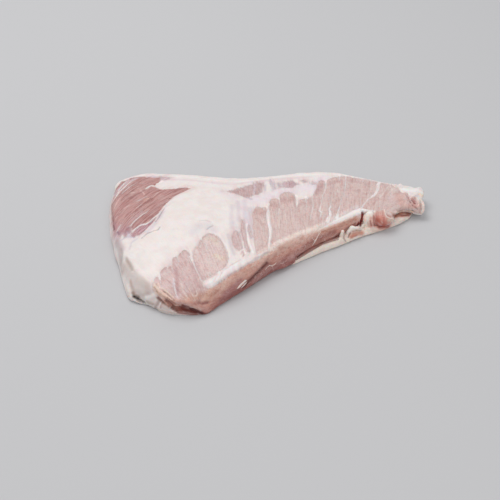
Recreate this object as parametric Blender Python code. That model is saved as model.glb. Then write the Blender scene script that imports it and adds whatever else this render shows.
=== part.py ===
"""A raw pork secreto: one flat, fan-shaped muscle, cut off square along its front, and the
sheet of fat that it lies on, which shows as a strip and as lumps along the cut.

Blender 4.5 script, in metres, +Z up. The origin is at the middle of the footprint, at the height
of what the meat lies on. +X runs to the thin tip, and -Y is the cut front.
"""

import math

import bmesh
import bpy
import numpy as np
from mathutils import Matrix
from mathutils.geometry import delaunay_2d_cdt

# Driving dimensions
LENGTH = 0.240  # blunt end to thin tip
WIDTH = 0.162  # cut front to the far corner of the fan
THICKNESS = 0.021  # at the middle of the blunt end
GAP = 0.0003  # kept between the muscle and the fat under it

# The outline of the muscle, anticlockwise from the front corner: where its side stands out most,
# as shares of LENGTH and WIDTH from the origin. Rows are counted from 0.
OUTLINE = [
    (-0.333, -0.497), (-0.281, -0.482), (-0.213, -0.466), (-0.150, -0.447), (-0.086, -0.428),
    (-0.008, -0.412), (0.075, -0.400), (0.150, -0.396), (0.212, -0.390), (0.260, -0.392),
    # 10: the nub of lean, then the step back into the cleft at the tip
    (0.298, -0.442), (0.332, -0.450), (0.358, -0.420), (0.390, -0.414), (0.416, -0.440),
    # 15: the ragged tip
    (0.436, -0.462), (0.454, -0.450), (0.469, -0.398), (0.494, -0.345), (0.470, -0.290),
    # 20: the back edge, to the far corner of the fan
    (0.422, -0.211), (0.373, -0.118), (0.319, -0.022), (0.270, 0.032), (0.216, 0.073),
    (0.152, 0.111), (0.103, 0.144), (0.058, 0.178), (0.004, 0.232), (-0.070, 0.326),
    (-0.148, 0.412), (-0.206, 0.476), (-0.262, 0.499), (-0.308, 0.490), (-0.336, 0.434),
    # 35: the blunt end, down to the folded corner
    (-0.362, 0.378), (-0.393, 0.296), (-0.427, 0.174), (-0.450, 0.060), (-0.465, -0.030),
    (-0.482, -0.126), (-0.498, -0.225), (-0.494, -0.268), (-0.470, -0.314), (-0.453, -0.362),
    # 45: under the fold, back to the front corner
    (-0.434, -0.406), (-0.402, -0.444), (-0.366, -0.478),
]

# Its side, at some of those rows. Sizes are shares of THICKNESS.
#   foot    how far the foot is tucked in under the outline
#   belly   the height at which the side stands out most
#   lean    how far the shoulder, where the top begins, is set in from the outline
#   rise    the height of the shoulder
#   full    how round the side is, from 0, a straight slope, to 1, a full quarter round
#   soft    how far in from the shoulder the top still climbs
SIDES = [
    # row   foot  belly  lean  rise  full  soft
    (0.0, 0.04, 0.06, 0.18, 0.40, 0.40, 1.00),  # the front corner
    (0.8, 0.10, 0.10, 0.34, 0.70, 0.45, 0.45),
    (2.0, 0.15, 0.18, 0.34, 0.84, 0.50, 0.22),  # the cut face
    (4.0, 0.16, 0.24, 0.36, 0.86, 0.50, 0.22),
    (6.0, 0.16, 0.36, 0.36, 0.82, 0.50, 0.22),  # over the strip of fat
    (8.0, 0.12, 0.40, 0.20, 0.76, 0.45, 0.20),
    (9.0, 0.10, 0.42, 0.16, 0.72, 0.45, 0.20),
    (10.5, 0.12, 0.26, 0.46, 0.66, 0.80, 0.30),  # the nub
    (12.5, 0.16, 0.40, 0.20, 0.62, 0.60, 0.25),
    (14.5, 0.18, 0.24, 0.22, 0.56, 0.65, 0.25),
    (17.5, 0.20, 0.26, 0.12, 0.56, 0.75, 0.25),  # the tip
    (20.0, 0.16, 0.30, 0.26, 0.60, 0.75, 0.60),
    (24.0, 0.14, 0.30, 0.28, 0.62, 0.80, 0.80),  # the back edge
    (30.0, 0.14, 0.30, 0.30, 0.62, 0.80, 0.80),
    (32.5, 0.14, 0.26, 0.36, 0.56, 0.75, 0.80),  # the far corner
    (35.0, 0.16, 0.24, 0.38, 0.62, 0.70, 0.60),
    (38.0, 0.16, 0.20, 0.40, 0.70, 0.60, 0.45),  # the blunt end
    (40.0, 0.12, 0.14, 0.48, 0.72, 0.40, 0.32),
    (42.0, 0.08, 0.10, 0.50, 0.68, 0.30, 0.32),  # the folded corner
    (44.0, 0.06, 0.10, 0.24, 0.68, 0.45, 0.45),
    (46.0, 0.02, 0.08, 0.08, 0.52, 0.50, 0.80),
]

# The same for the sheet of fat under the thin end. Its front is the strip that shows below the
# cut, and its back and left stay under the muscle.
SHEET_OUTLINE = [
    (-0.024, -0.410), (0.020, -0.421), (0.076, -0.419), (0.156, -0.424), (0.231, -0.424),
    # 5: below the nub, and round the tip
    (0.298, -0.438), (0.352, -0.442), (0.405, -0.432), (0.436, -0.385), (0.434, -0.300),
    # 10: just inside the back edge
    (0.392, -0.208), (0.342, -0.108), (0.296, -0.014), (0.246, 0.032), (0.182, 0.064),
    # 15: its left end, deep under the muscle
    (0.120, 0.040), (0.070, -0.120), (0.022, -0.280),
]
SHEET_SIDES = [
    (0.0, 0.03, 0.05, 0.06, 0.18, 0.50, 0.30),
    (3.0, 0.05, 0.08, 0.12, 0.23, 0.50, 0.30),
    (6.0, 0.08, 0.10, 0.14, 0.25, 0.50, 0.30),
    (8.0, 0.10, 0.08, 0.12, 0.18, 0.50, 0.30),
    (11.0, 0.10, 0.08, 0.08, 0.26, 0.50, 0.30),
    (16.0, 0.04, 0.05, 0.04, 0.22, 0.50, 0.30),
]
SHEET_BEGINS = ((-0.055, -0.420), (0.100, 0.080))  # the line from which the fat lifts the muscle
SHEET_RAMP = 0.026
SHEET_FRONT, SHEET_BACK = 0.18, 0.12  # its thickness below the cut and at the back edge
SHEET_TIP = 0.50  # the share of that left at the tip
TIP_FROM, TIP_TO = 0.39, 0.46  # where it thins, as shares of LENGTH

# The top, as swells on a plain face. Heights are shares of THICKNESS. A swell has its middle, as
# shares of LENGTH and WIDTH, its two reaches as shares of LENGTH, the turn of the first reach in
# degrees, and its height.
TOP = 0.72
SWELL_FALL = 1.4  # how steeply a swell falls off at its reach
SWELLS = np.array([
    (-0.210, -0.080, 0.290, 0.230, 0.0, 0.28),  # the thick middle of the blunt end
    (0.200, -0.270, 0.190, 0.085, -3.0, 0.10),  # along the cut
    (-0.300, 0.230, 0.120, 0.070, 40.0, -0.05),  # the bare lean of the far corner
    (0.050, 0.020, 0.100, 0.050, 30.0, -0.03),
    (0.400, -0.300, 0.060, 0.040, -50.0, 0.04),
])

# What stands on the side or is cut into it, as rounded blobs, in metres. Each is placed by its
# row of OUTLINE and how far out and up its middle is. Then come its half length along the side,
# its half depth and half height, and the tilt of its length in degrees.
FAT_LUMPS = {
    # name   row   out_by  up  half_length  half_depth  half_height  tilt
    "wall": (9.15, -0.0024, 0.0076, 0.0052, 0.0046, 0.0073, 8.0),
    "spike": (7.28, 0.0006, 0.0050, 0.0017, 0.0018, 0.0048, 5.0),
    "curl_heart": (8.15, 0.0008, 0.0036, 0.0064, 0.0036, 0.0030, 0.0),
}
MUSCLE_LUMPS = {  # the ragged flap of fat that hangs over the thin tip
    "tip_flap": (17.60, -0.0034, 0.0100, 0.0080, 0.0044, 0.0019, 0.0),
}
CUTS = {
    "cleft": (8.74, -0.0010, 0.0112, 0.0016, 0.0065, 0.0060, 24.0),
    "tip_cleft": (13.0, 0.0012, 0.0074, 0.0100, 0.0062, 0.0014, 6.0),
    "hollow": (46.3, 0.0016, 0.0048, 0.0120, 0.0070, 0.0026, 4.0),
    "pocket": (42.6, 0.0010, 0.0036, 0.0060, 0.0050, 0.0016, 12.0),
}
# The roll of fat that curls over the heart: an arc round its middle
CURL_POINTS = 11
CURL_FROM, CURL_TO = 200.0, 15.0  # degrees, from its low left end
CURL_REACH = (0.0072, 0.0044)  # half length and height of the arc
CURL_THICK = 0.0024
CURL_END = 0.55  # the share of that left at its ends

# Colours and roughness
LEAN, LEAN_ROUGHNESS = (0.66, 0.50, 0.48), 0.45
FAT, FAT_ROUGHNESS = (0.82, 0.73, 0.68), 0.40

# The net of points
SIDE_LEVELS = 9  # rings of points up a side
FOOT_LEVELS = 3  # how many of them lie below the belly
FINE_STEP, COARSE_STEP = 0.0024, 0.0042  # between points along the cut, and elsewhere
FINE_ROWS, SHEET_FINE_ROWS = (-2.0, 19.0), (-1.0, 9.0)  # the rows between which the step is fine
TOP_STEP, UNDERSIDE_STEP, SHEET_STEP = 0.0034, 0.0055, 0.0060  # between points on the faces
CLEAR = 0.62  # steps kept between a face's own points and its ring
CORNER_EASE = 0.008  # how far round a corner its outward directions are eased
BROW = 0.0022  # from the shoulder to the first ring of points on the top
NEAR_POWER = 3  # how strongly the nearest points of a ring set what is carried in from it
FADE_POWER = 1.3  # how suddenly that fades out
SPAN = 0.6  # rows to each side of a place on the outline from which its direction is taken


def smooth(a, b, x):
    """0 up to a, 1 from b, and an S between them."""
    t = np.clip((x - a) / (b - a), 0.0, 1.0)
    return t * t * (3.0 - 2.0 * t)


def closed_curve(rows, places):
    """A smooth closed curve through rows, read at places counted in rows."""
    count = len(rows)
    i = np.floor(places).astype(int)
    t = (places - i)[:, None]
    before, here, after, later = (rows[(i + k) % count] for k in (-1, 0, 1, 2))
    in_slope, out_slope = (after - before) / 2.0, (later - here) / 2.0
    return (
        (2 * t**3 - 3 * t**2 + 1) * here
        + (t**3 - 2 * t**2 + t) * in_slope
        + (3 * t**2 - 2 * t**3) * after
        + (t**3 - t**2) * out_slope
    )


def edge_places(outline, fine_rows):
    """Where the points round an edge lie, counted in its rows: close together in fine_rows."""
    first, last = fine_rows
    rows = np.linspace(first, first + len(outline), 4001)
    steps = np.linalg.norm(np.diff(line_at(outline, rows), axis=0), axis=1)
    middle = (rows[1:] + rows[:-1]) / 2
    size = FINE_STEP + (COARSE_STEP - FINE_STEP) * smooth(last, last + 1.5, middle)
    travel = np.concatenate([[0.0], np.cumsum(steps / size)])
    count = int(round(travel[-1]))
    return np.interp(np.arange(count) * travel[-1] / count, travel, rows)


def line_at(outline, places):
    """Points of an outline, in metres: the box of the muscle's own one is LENGTH by WIDTH."""
    box = closed_curve(np.array(OUTLINE), np.linspace(0.0, len(OUTLINE), 4001))
    low, high = box.min(axis=0), box.max(axis=0)
    shares = (closed_curve(np.array(outline), places) - (low + high) / 2) / (high - low)
    return shares * (LENGTH, WIDTH)


def sides_at(sides, outline, places):
    """The columns of a table of sides, eased from one of its rows to the next."""
    table = np.array(sides)
    count = len(outline)
    rows = np.concatenate([table[-1:, 0] - count, table[:, 0], table[:1, 0] + count])
    values = np.concatenate([table[-1:], table, table[:1]])[:, 1:]
    i = np.clip(np.searchsorted(rows, places % count, side="right") - 1, 0, len(rows) - 2)
    t = smooth(rows[i], rows[i + 1], places % count)[:, None]
    return (values[i] * (1.0 - t) + values[i + 1] * t).T


def outward(xy):
    """The way out of the closed line xy at each point, eased round its corners."""
    along = np.roll(xy, -1, axis=0) - np.roll(xy, 1, axis=0)
    out = np.stack([along[:, 1], -along[:, 0]], axis=1)
    out /= np.linalg.norm(out, axis=1)[:, None]
    apart = np.linalg.norm(xy[:, None] - xy[None], axis=2)
    out = np.exp(-((apart / CORNER_EASE) ** 2)) @ out
    return out / np.linalg.norm(out, axis=1)[:, None]


def flat(xy):
    """The surface that the fat lies on."""
    return np.zeros(len(xy))


def sheet_top(xy):
    """How high the sheet of fat lifts the muscle."""
    front, back = np.array(SHEET_BEGINS) * (LENGTH, WIDTH)
    line = (back - front) / np.linalg.norm(back - front)
    beyond = (xy - front) @ np.array([line[1], -line[0]])
    depth = smooth(front[1], back[1], xy[:, 1])
    thickness = SHEET_FRONT + (SHEET_BACK - SHEET_FRONT) * depth
    thickness = thickness * (1.0 - (1.0 - SHEET_TIP) * smooth(TIP_FROM, TIP_TO, xy[:, 0] / LENGTH))
    return THICKNESS * thickness * smooth(0.0, SHEET_RAMP, beyond)


def under_muscle(xy):
    """The underside of the muscle, clear of the fat."""
    top = sheet_top(xy)
    return top + GAP * smooth(0.0, GAP, top)


def sheet_before_cut(xy):
    """The sheet's top before the muscle is cut from it, a little too high on purpose."""
    return sheet_top(xy) + 2.0 * GAP


def top_face(xy):
    """The height of the top, away from its edge."""
    height = np.full(len(xy), TOP)
    for u, v, reach, other_reach, turn, swell in SWELLS:
        away = xy - np.array([u * LENGTH, v * WIDTH])
        turn = math.radians(turn)
        along = away @ np.array([math.cos(turn), math.sin(turn)])
        across = away @ np.array([-math.sin(turn), math.cos(turn)])
        away2 = (along / (reach * LENGTH)) ** 2 + (across / (other_reach * LENGTH)) ** 2
        height += swell * np.exp(-SWELL_FALL * away2)
    return THICKNESS * height


def side_rings(line, sides, floor):
    """Rings of points up the side, from the foot to the shoulder."""
    foot, belly, lean, rise = sides[:4] * THICKNESS
    full = sides[4]
    out = outward(line)
    rings = []
    for level in range(SIDE_LEVELS):
        if level < FOOT_LEVELS:
            turn = level / FOOT_LEVELS * math.pi / 2
            stand = foot * (math.sin(turn) - 1.0)
            height = belly * (1.0 - math.cos(turn))
        else:
            t = (level - FOOT_LEVELS) / (SIDE_LEVELS - 1 - FOOT_LEVELS)
            bend_out = (full - 1.0) * lean / 2
            bend_up = full * rise + (1.0 - full) * (belly + rise) / 2
            stand = 2 * t * (1 - t) * bend_out - t * t * lean
            height = (1 - t) ** 2 * belly + 2 * t * (1 - t) * bend_up + t * t * rise
        xy = line + out * stand[:, None]
        lift = floor(xy)
        height = lift + height * (1.0 - lift / rise)
        rings.append(np.column_stack([xy, height]))
    return rings


def inside(xy, ring):
    """Which of the points xy lie inside the closed line ring."""
    x, y = xy.T
    found = np.zeros(len(xy), bool)
    for (x0, y0), (x1, y1) in zip(ring, np.roll(ring, -1, axis=0)):
        crosses = (y0 > y) != (y1 > y)
        slope = (x1 - x0) / (y1 - y0) if y1 != y0 else 0.0
        found ^= crosses & (x < x0 + (y - y0) * slope)
    return found


def face_points(ring, spacing):
    """Evenly spread points inside ring, clear of it."""
    low, high = ring.min(axis=0), ring.max(axis=0)
    row_step = spacing * math.sqrt(3) / 2
    found = []
    for i, y in enumerate(np.arange(low[1], high[1], row_step)):
        x = np.arange(low[0] + (i % 2) * spacing / 2, high[0], spacing)
        found.append(np.column_stack([x, np.full(len(x), y)]))
    xy = np.concatenate(found)
    xy = xy[inside(xy, ring)]
    near = np.linalg.norm(xy[:, None] - ring[None], axis=2).min(axis=1)
    return xy[near > CLEAR * spacing]


def triangles(ring, points):
    """The triangles of the face bounded by ring, through points."""
    ends = [(i, (i + 1) % len(ring)) for i in range(len(ring))]
    found = delaunay_2d_cdt([tuple(p) for p in np.concatenate([ring, points])], ends, [], 1, 1e-7)
    return [tuple(face) for face in found[2]]


def from_edge(xy, ring, values, reach):
    """values, given on ring, carried in to the points xy and fading out over reach."""
    apart = np.linalg.norm(xy[:, None] - ring[None], axis=2)
    weight = 1.0 / (apart + 1e-5) ** NEAR_POWER
    weight /= weight.sum(axis=1)[:, None]
    return (weight @ values) * np.exp(-((apart.min(axis=1) / (weight @ reach)) ** FADE_POWER))


def slab(name, outline, sides, fine_rows, floor, top, top_step, floor_step):
    """A closed body between the faces floor and top, with a rounded side round outline."""
    places = edge_places(outline, fine_rows)
    count = len(places)
    sides = sides_at(sides, outline, places)
    line = line_at(outline, places)
    rings = side_rings(line, sides, floor)
    shoulder = rings[-1]
    step_up = shoulder[:, 2] - top(shoulder[:, :2])

    def top_height(xy):
        return top(xy) + from_edge(xy, shoulder[:, :2], step_up, sides[5] * THICKNESS)

    brow = shoulder[:, :2] - outward(shoulder[:, :2]) * BROW
    rings.append(np.column_stack([brow, top_height(brow)]))
    points = [tuple(p) for ring in rings for p in ring]
    faces = []
    for level in range(SIDE_LEVELS):
        low, high = level * count, (level + 1) * count
        for i in range(count):
            j = (i + 1) % count
            faces += [(low + i, low + j, high + j), (low + i, high + j, high + i)]

    brow, foot = rings[-1][:, :2], rings[0]
    xy = face_points(brow, top_step)
    index = list(range(len(points) - count, len(points) + len(xy)))
    points += [tuple(p) for p in np.column_stack([xy, top_height(xy)])]
    faces += [tuple(index[i] for i in face) for face in triangles(brow, xy)]

    xy = face_points(foot[:, :2], floor_step)
    xy = xy[floor(xy) > 0.0]
    index = list(range(count)) + list(range(len(points), len(points) + len(xy)))
    points += [(x, y, z) for (x, y), z in zip(xy, floor(xy))]
    faces += [tuple(index[i] for i in face[::-1]) for face in triangles(foot[:, :2], xy)]

    mesh = bpy.data.meshes.new(name)
    mesh.from_pydata(points, [], faces)
    mesh.shade_smooth()
    body = bpy.data.objects.new(name, mesh)
    bpy.context.scene.collection.objects.link(body)
    return body


def edge_frame(row, out_by, up):
    """Axes along the side, out of it and up, at a place beside it."""
    line = line_at(OUTLINE, np.linspace(row - SPAN, row + SPAN, 3))
    along = (line[2] - line[0]) / np.linalg.norm(line[2] - line[0])
    out = np.array([along[1], -along[0]])
    middle = line[1] + out * out_by
    return Matrix((
        (along[0], out[0], 0.0, middle[0]),
        (along[1], out[1], 0.0, middle[1]),
        (0.0, 0.0, 1.0, up),
        (0.0, 0.0, 0.0, 1.0),
    ))


def blob(name, sizes):
    """An egg on the side of the meat: see FAT_LUMPS for its sizes."""
    row, out_by, up, half_length, half_depth, half_height, tilt = sizes
    size = Matrix.Diagonal((half_length, half_depth, half_height, 1.0))
    turn = Matrix.Rotation(math.radians(tilt), 4, "Y")
    place = edge_frame(row, out_by, up) @ turn @ size
    shape = bmesh.new()
    bmesh.ops.create_icosphere(shape, subdivisions=3, radius=1.0, matrix=place)
    bmesh.ops.recalc_face_normals(shape, faces=shape.faces)
    mesh = bpy.data.meshes.new(name)
    shape.to_mesh(mesh)
    shape.free()
    return helper(mesh)


def curl():
    """The roll of fat over the curl's heart, thinner at its ends."""
    data = bpy.data.curves.new("curl", "CURVE")
    data.dimensions = "3D"
    data.bevel_depth = CURL_THICK
    data.bevel_resolution = 2
    data.use_fill_caps = True
    spline = data.splines.new("POLY")
    spline.points.add(CURL_POINTS - 1)
    for i, point in enumerate(spline.points):
        share = i / (CURL_POINTS - 1)
        turn = math.radians(CURL_FROM + (CURL_TO - CURL_FROM) * share)
        along, up = CURL_REACH[0] * math.cos(turn), CURL_REACH[1] * math.sin(turn)
        point.co = (along, 0.0, up, 1.0)
        point.radius = CURL_END + (1.0 - CURL_END) * math.sin(math.pi * share)
    path = bpy.data.objects.new("curl", data)
    mesh = bpy.data.meshes.new_from_object(path)
    bpy.data.objects.remove(path)
    mesh.transform(edge_frame(*FAT_LUMPS["curl_heart"][:3]))
    return helper(mesh)


def helper(mesh):
    """An object that only cuts or joins, and isn't part of the meat."""
    tool = bpy.data.objects.new(mesh.name, mesh)
    tool.hide_render = True
    tool.display_type = "WIRE"
    return tool


def combine(body, operation, tools, solver="EXACT"):
    """Joins tools to body, or cuts them from it, and drops them."""
    group = bpy.data.collections.new("tools")
    bpy.context.scene.collection.children.link(group)
    for tool in tools:
        group.objects.link(tool)
    step = body.modifiers.new(operation.lower(), "BOOLEAN")
    step.operation = operation
    step.operand_type = "COLLECTION"
    step.collection = group
    step.solver = solver
    graph = bpy.context.evaluated_depsgraph_get()
    result = bpy.data.meshes.new_from_object(body.evaluated_get(graph))
    body.modifiers.clear()
    body.data = result
    for tool in tools:
        bpy.data.objects.remove(tool)
    bpy.data.collections.remove(group)


def finish(body, colour, roughness):
    """Gives a body its material, its smooth shading and its place round the origin."""
    look = bpy.data.materials.new(body.name)
    look.use_nodes = True
    shader = look.node_tree.nodes["Principled BSDF"]
    shader.inputs["Base Color"].default_value = (*colour, 1.0)
    shader.inputs["Roughness"].default_value = roughness
    shader.inputs["Metallic"].default_value = 0.0
    body.data.materials.clear()
    body.data.materials.append(look)
    body.data.shade_smooth()


def grown(body, by):
    """A copy of body, bigger by the same distance all over, to cut its neighbour with."""
    shape = bmesh.new()
    shape.from_mesh(body.data)
    shape.normal_update()
    for point, way in [(p, p.normal.copy()) for p in shape.verts]:
        point.co += way * by
    mesh = bpy.data.meshes.new(body.name + "_grown")
    shape.to_mesh(mesh)
    shape.free()
    return helper(mesh)


for old in list(bpy.data.objects):
    bpy.data.objects.remove(old)

muscle = slab(
    "muscle", OUTLINE, SIDES, FINE_ROWS, under_muscle, top_face, TOP_STEP, UNDERSIDE_STEP
)
combine(muscle, "UNION", [blob(name, sizes) for name, sizes in MUSCLE_LUMPS.items()])
cutters = [blob(name, sizes) for name, sizes in CUTS.items()]
combine(muscle, "DIFFERENCE", cutters + [blob("wall_bed", FAT_LUMPS["wall"])])
finish(muscle, LEAN, LEAN_ROUGHNESS)

under_fat = slab(
    "under_fat", SHEET_OUTLINE, SHEET_SIDES, SHEET_FINE_ROWS,
    flat, sheet_before_cut, SHEET_STEP, SHEET_STEP,
)
lumps = [blob(name, sizes) for name, sizes in FAT_LUMPS.items()]
combine(under_fat, "UNION", lumps + [curl()])
# The muscle's own shape, grown by the gap, crosses itself in the narrow cuts, which the exact
# solver doesn't take.
combine(under_fat, "DIFFERENCE", [grown(muscle, GAP)], "MANIFOLD")
finish(under_fat, FAT, FAT_ROUGHNESS)
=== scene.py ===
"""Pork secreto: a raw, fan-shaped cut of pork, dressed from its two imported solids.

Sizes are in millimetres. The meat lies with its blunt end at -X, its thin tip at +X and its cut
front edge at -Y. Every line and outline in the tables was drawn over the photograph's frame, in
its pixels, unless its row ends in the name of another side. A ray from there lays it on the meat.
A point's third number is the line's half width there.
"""

import math

import bmesh
import bpy
import numpy as np
from mathutils import Matrix, Vector, noise
from mathutils.bvhtree import BVHTree


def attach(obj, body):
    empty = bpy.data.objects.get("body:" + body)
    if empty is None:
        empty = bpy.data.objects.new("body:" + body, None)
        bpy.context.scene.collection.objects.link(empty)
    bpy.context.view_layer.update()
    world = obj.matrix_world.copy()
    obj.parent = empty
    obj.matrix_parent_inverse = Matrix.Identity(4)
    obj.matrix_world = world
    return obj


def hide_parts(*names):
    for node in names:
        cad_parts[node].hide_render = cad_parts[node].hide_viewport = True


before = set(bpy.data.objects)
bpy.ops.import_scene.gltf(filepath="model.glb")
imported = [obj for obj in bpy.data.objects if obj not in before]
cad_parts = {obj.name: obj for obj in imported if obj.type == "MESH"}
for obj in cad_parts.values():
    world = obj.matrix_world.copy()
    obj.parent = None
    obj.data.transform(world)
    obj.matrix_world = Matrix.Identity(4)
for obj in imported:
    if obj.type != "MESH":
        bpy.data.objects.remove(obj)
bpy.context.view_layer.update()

# ---- The muscle ---------------------------------------------------------------------------------
# One flat fan of raw lean under a cap of white fat, cut straight along its front. Its solid gets
# an even net of fine points, which are eased round and then moved to make strands, seams and folds.

MM = 0.001
MUSCLE_NET = 0.70  # between points
UNDERSIDE_SHARE = 0.06  # of its faces are kept on the flat underside
BASE_LAYER = 0.3  # what lies lower than this is laid flat
EASE_IN, EASE_OUT = 0.55, 0.56  # steps towards the points beside a point, and back
MUSCLE_ROUNDS = 40  # of easing
CRISP_EASE, SOFT_EASE = 0.18, 0.82  # how much of it a crisp place gets, and the rest has more
FAR, NOT_LEAN = 99.0, -9.0  # a gap and a depth past any on the meat
SEED_STEP = 17.31  # how far apart the noises of two seeds lie

# Where the photograph was taken from, which way its frame runs, and how far its 500-pixel frame
# lies in front of the lens, in pixels
EYE = (-313.0, -563.9, 504.9)
ACROSS, UP, BACK = (
    (0.86274, -0.50490, -0.02743), (0.34281, 0.54415, 0.76575), (-0.37170, -0.67005, 0.64255))
FRAME_GAP, FRAME_MIDDLE = 1073.8, 249.5
LENS_WIDTH, LENS_LENGTH = 36.0, 77.31  # of a camera that sees the same


def through_frame(a, b):
    """The way from the eye through pixel (a, b) of the photograph's frame."""
    return tuple(x * (a - FRAME_MIDDLE) + y * (FRAME_MIDDLE - b) - z * FRAME_GAP
                 for x, y, z in zip(ACROSS, UP, BACK))


# How a drawing lies over the meat: where a ray over its point (a, b) starts, and where it goes
SIDES = {
    "seen": lambda a, b: (EYE, through_frame(a, b)),
    "top": lambda a, b: ((a, b, 60.0), (0, 0, -1)),  # drawn as (x, y)
    "front": lambda a, b: ((a, -150.0, b), (0, 1, 0)),  # drawn as (x, z)
    "tip": lambda a, b: ((180.0, a, b), (-1, 0, 0)),  # drawn as (y, z)
}


def tone(red, green, blue):
    """A colour as the eye names it, 0 to 255, turned into the light that a surface returns."""
    return tuple(v / 12.92 if v <= 0.04045 else ((v + 0.055) / 1.055) ** 2.4
                 for v in (red / 255, green / 255, blue / 255))


def applied(piece, modifier):
    """The piece with its modifier worked into a plain mesh, which is given back."""
    mesh = bpy.data.meshes.new_from_object(
        piece.evaluated_get(bpy.context.evaluated_depsgraph_get()))
    piece.modifiers.remove(modifier)
    piece.data = mesh
    return mesh


def new_object(name, data):
    thing = bpy.data.objects.new(name, data)
    bpy.context.scene.collection.objects.link(thing)
    return thing


def fine_skin(node, name, net):
    """A solid's outside as a new object: one closed, even net of points, net mm apart."""
    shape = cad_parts[node].data.copy()
    work = bmesh.new()
    work.from_mesh(shape)
    bmesh.ops.remove_doubles(work, verts=work.verts, dist=1e-6)
    work.to_mesh(shape)
    work.free()
    piece = new_object(name, shape)
    even = piece.modifiers.new("even net", "REMESH")
    even.mode, even.voxel_size, even.adaptivity = "VOXEL", net * MM, 0.0
    skin = applied(piece, even)
    skin.name = name
    skin.materials.clear()
    return piece


def thin_underside(piece, share):
    """Fewer and larger faces on the flat underside, where nothing fine shows."""
    points = read_points(piece)
    flat = np.where((points[:, 2] < 0.02) & (read_normals(piece)[:, 2] < -0.98))[0]
    group = piece.vertex_groups.new(name="underside")
    group.add([int(i) for i in flat], 1.0, "REPLACE")
    fewer = piece.modifiers.new("fewer", "DECIMATE")
    fewer.ratio = 1 - (1 - share) * len(flat) / len(points)
    fewer.vertex_group = group.name
    applied(piece, fewer)
    piece.vertex_groups.clear()


def read(items, key, width, kind=np.float32):
    flat = np.empty(len(items) * width, kind)
    items.foreach_get(key, flat)
    return flat.reshape(-1, width)


def read_points(piece):
    return read(piece.data.vertices, "co", 3).astype(float) / MM


def read_normals(piece):
    return read(piece.data.vertices, "normal", 3).astype(float)


def read_edges(piece):
    return read(piece.data.edges, "vertices", 2, np.int32)


def write_points(piece, points):
    piece.data.vertices.foreach_set("co", (points * MM).astype(np.float32).ravel())
    piece.data.update()


def towards_neighbours(values, edges):
    """From each point to the middle of the points beside it."""
    count = np.bincount(edges.ravel(), minlength=len(values))[:, None]
    total = np.empty_like(values)
    for axis in range(values.shape[1]):
        both = np.concatenate([values[edges[:, 1], axis], values[edges[:, 0], axis]])
        total[:, axis] = np.bincount(
            np.concatenate([edges[:, 0], edges[:, 1]]), weights=both, minlength=len(values))
    return total / count - values


def eased(points, edges, amount, rounds):
    """The points with facets eased away by rounds of in and out steps, which keep the volume."""
    points = points.copy()
    for _ in range(rounds):
        points += EASE_IN * amount[:, None] * towards_neighbours(points, edges)
        points -= EASE_OUT * amount[:, None] * towards_neighbours(points, edges)
        points[:, 2] = np.maximum(points[:, 2], 0.0)
    return points


def net_tree(piece):
    points = [tuple(p) for p in read_points(piece)]
    return BVHTree.FromPolygons(points, [tuple(f.vertices) for f in piece.data.polygons])


def cast(tree, side, a, b):
    """Where point (a, b) of a drawing lies on the skin, or None where it misses it."""
    start, way = SIDES[side](a, b)
    return tree.ray_cast(Vector(start), Vector(way))[0]


def laid(tree, line, half=0.0, side="seen", step=1.0):
    """A drawn line as points on the skin, step apart, each with its half width."""
    out = []
    full = [(p[0], p[1], p[2] if len(p) > 2 else half) for p in line]
    for (a0, b0, w0), (a1, b1, w1) in zip(full, full[1:]):
        n = max(1, int(math.hypot(a1 - a0, b1 - b0) / step))
        for t in (k / n for k in range(n + 1)):
            hit = cast(tree, side, a0 + t * (a1 - a0), b0 + t * (b1 - b0))
            if hit is not None:
                out.append((*hit, w0 + t * (w1 - w0)))
    return np.array(out)


def gap_to(points, line, reach=8.0):
    """How far each point is from the edge of a laid line: below 0 on it, and FAR past reach."""
    out = np.full(len(points), FAR)
    if len(line) < 2:
        return out
    low, high = line[:, :3].min(0) - reach, line[:, :3].max(0) + reach
    close = np.where(np.all((points > low) & (points < high), axis=1))[0]
    near = points[close]
    best = np.full(len(close), FAR)
    for start, end in zip(line, line[1:]):
        run = end[:3] - start[:3]
        length = run @ run
        if length < 1e-9:
            continue
        t = np.clip((near - start[:3]) @ run / length, 0, 1)
        gap = np.linalg.norm(near - start[:3] - t[:, None] * run, axis=1)
        best = np.minimum(best, gap - (start[3] + t * (end[3] - start[3])))
    out[close] = best
    return out


def depth_in(flat, outline):
    """How deep each flat point lies inside a closed outline: below 0 outside it."""
    corners = np.array(outline, float)
    best = np.full(len(flat), 1e9)
    inside = np.zeros(len(flat), bool)
    for (ax, ay), (bx, by) in zip(corners, np.roll(corners, -1, 0)):
        dx, dy = bx - ax, by - ay
        px, py = flat[:, 0] - ax, flat[:, 1] - ay
        t = np.clip((px * dx + py * dy) / (dx * dx + dy * dy), 0, 1)
        best = np.minimum(best, (px - t * dx) ** 2 + (py - t * dy) ** 2)
        if dy:
            inside ^= ((ay > flat[:, 1]) != (by > flat[:, 1])) & (px < dx * py / dy)
    return np.where(inside, 1.0, -1.0) * np.sqrt(best)


def step_up(value, low, high):
    """0 below low, 1 above high, and a soft step between them."""
    t = np.clip((value - low) / (high - low), 0, 1)
    return t * t * (3 - 2 * t)


def hump(points, tree, line, reach, side="seen"):
    """1 for the points on a drawn line, falling to 0 at reach from it."""
    gap = gap_to(points, laid(tree, line, side=side), reach + 2)
    return np.clip(1 - (np.maximum(gap, 0) / reach) ** 2, 0, 1) ** 2


def grain(points, scale, seed, layers=1):
    """Soft noise from -1 to 1 with lumps about scale mm across (one number, or one an axis)."""
    spots = points / np.array(scale, float) + seed * SEED_STEP
    out = np.array([noise.noise(p) for p in spots])
    for k in range(1, layers):
        out += np.array([noise.noise(p * 2.1**k) for p in spots]) * 0.5**k
    return out


muscle = fine_skin("muscle", "muscle_skin", MUSCLE_NET)
points, edges = read_points(muscle), read_edges(muscle)

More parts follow.
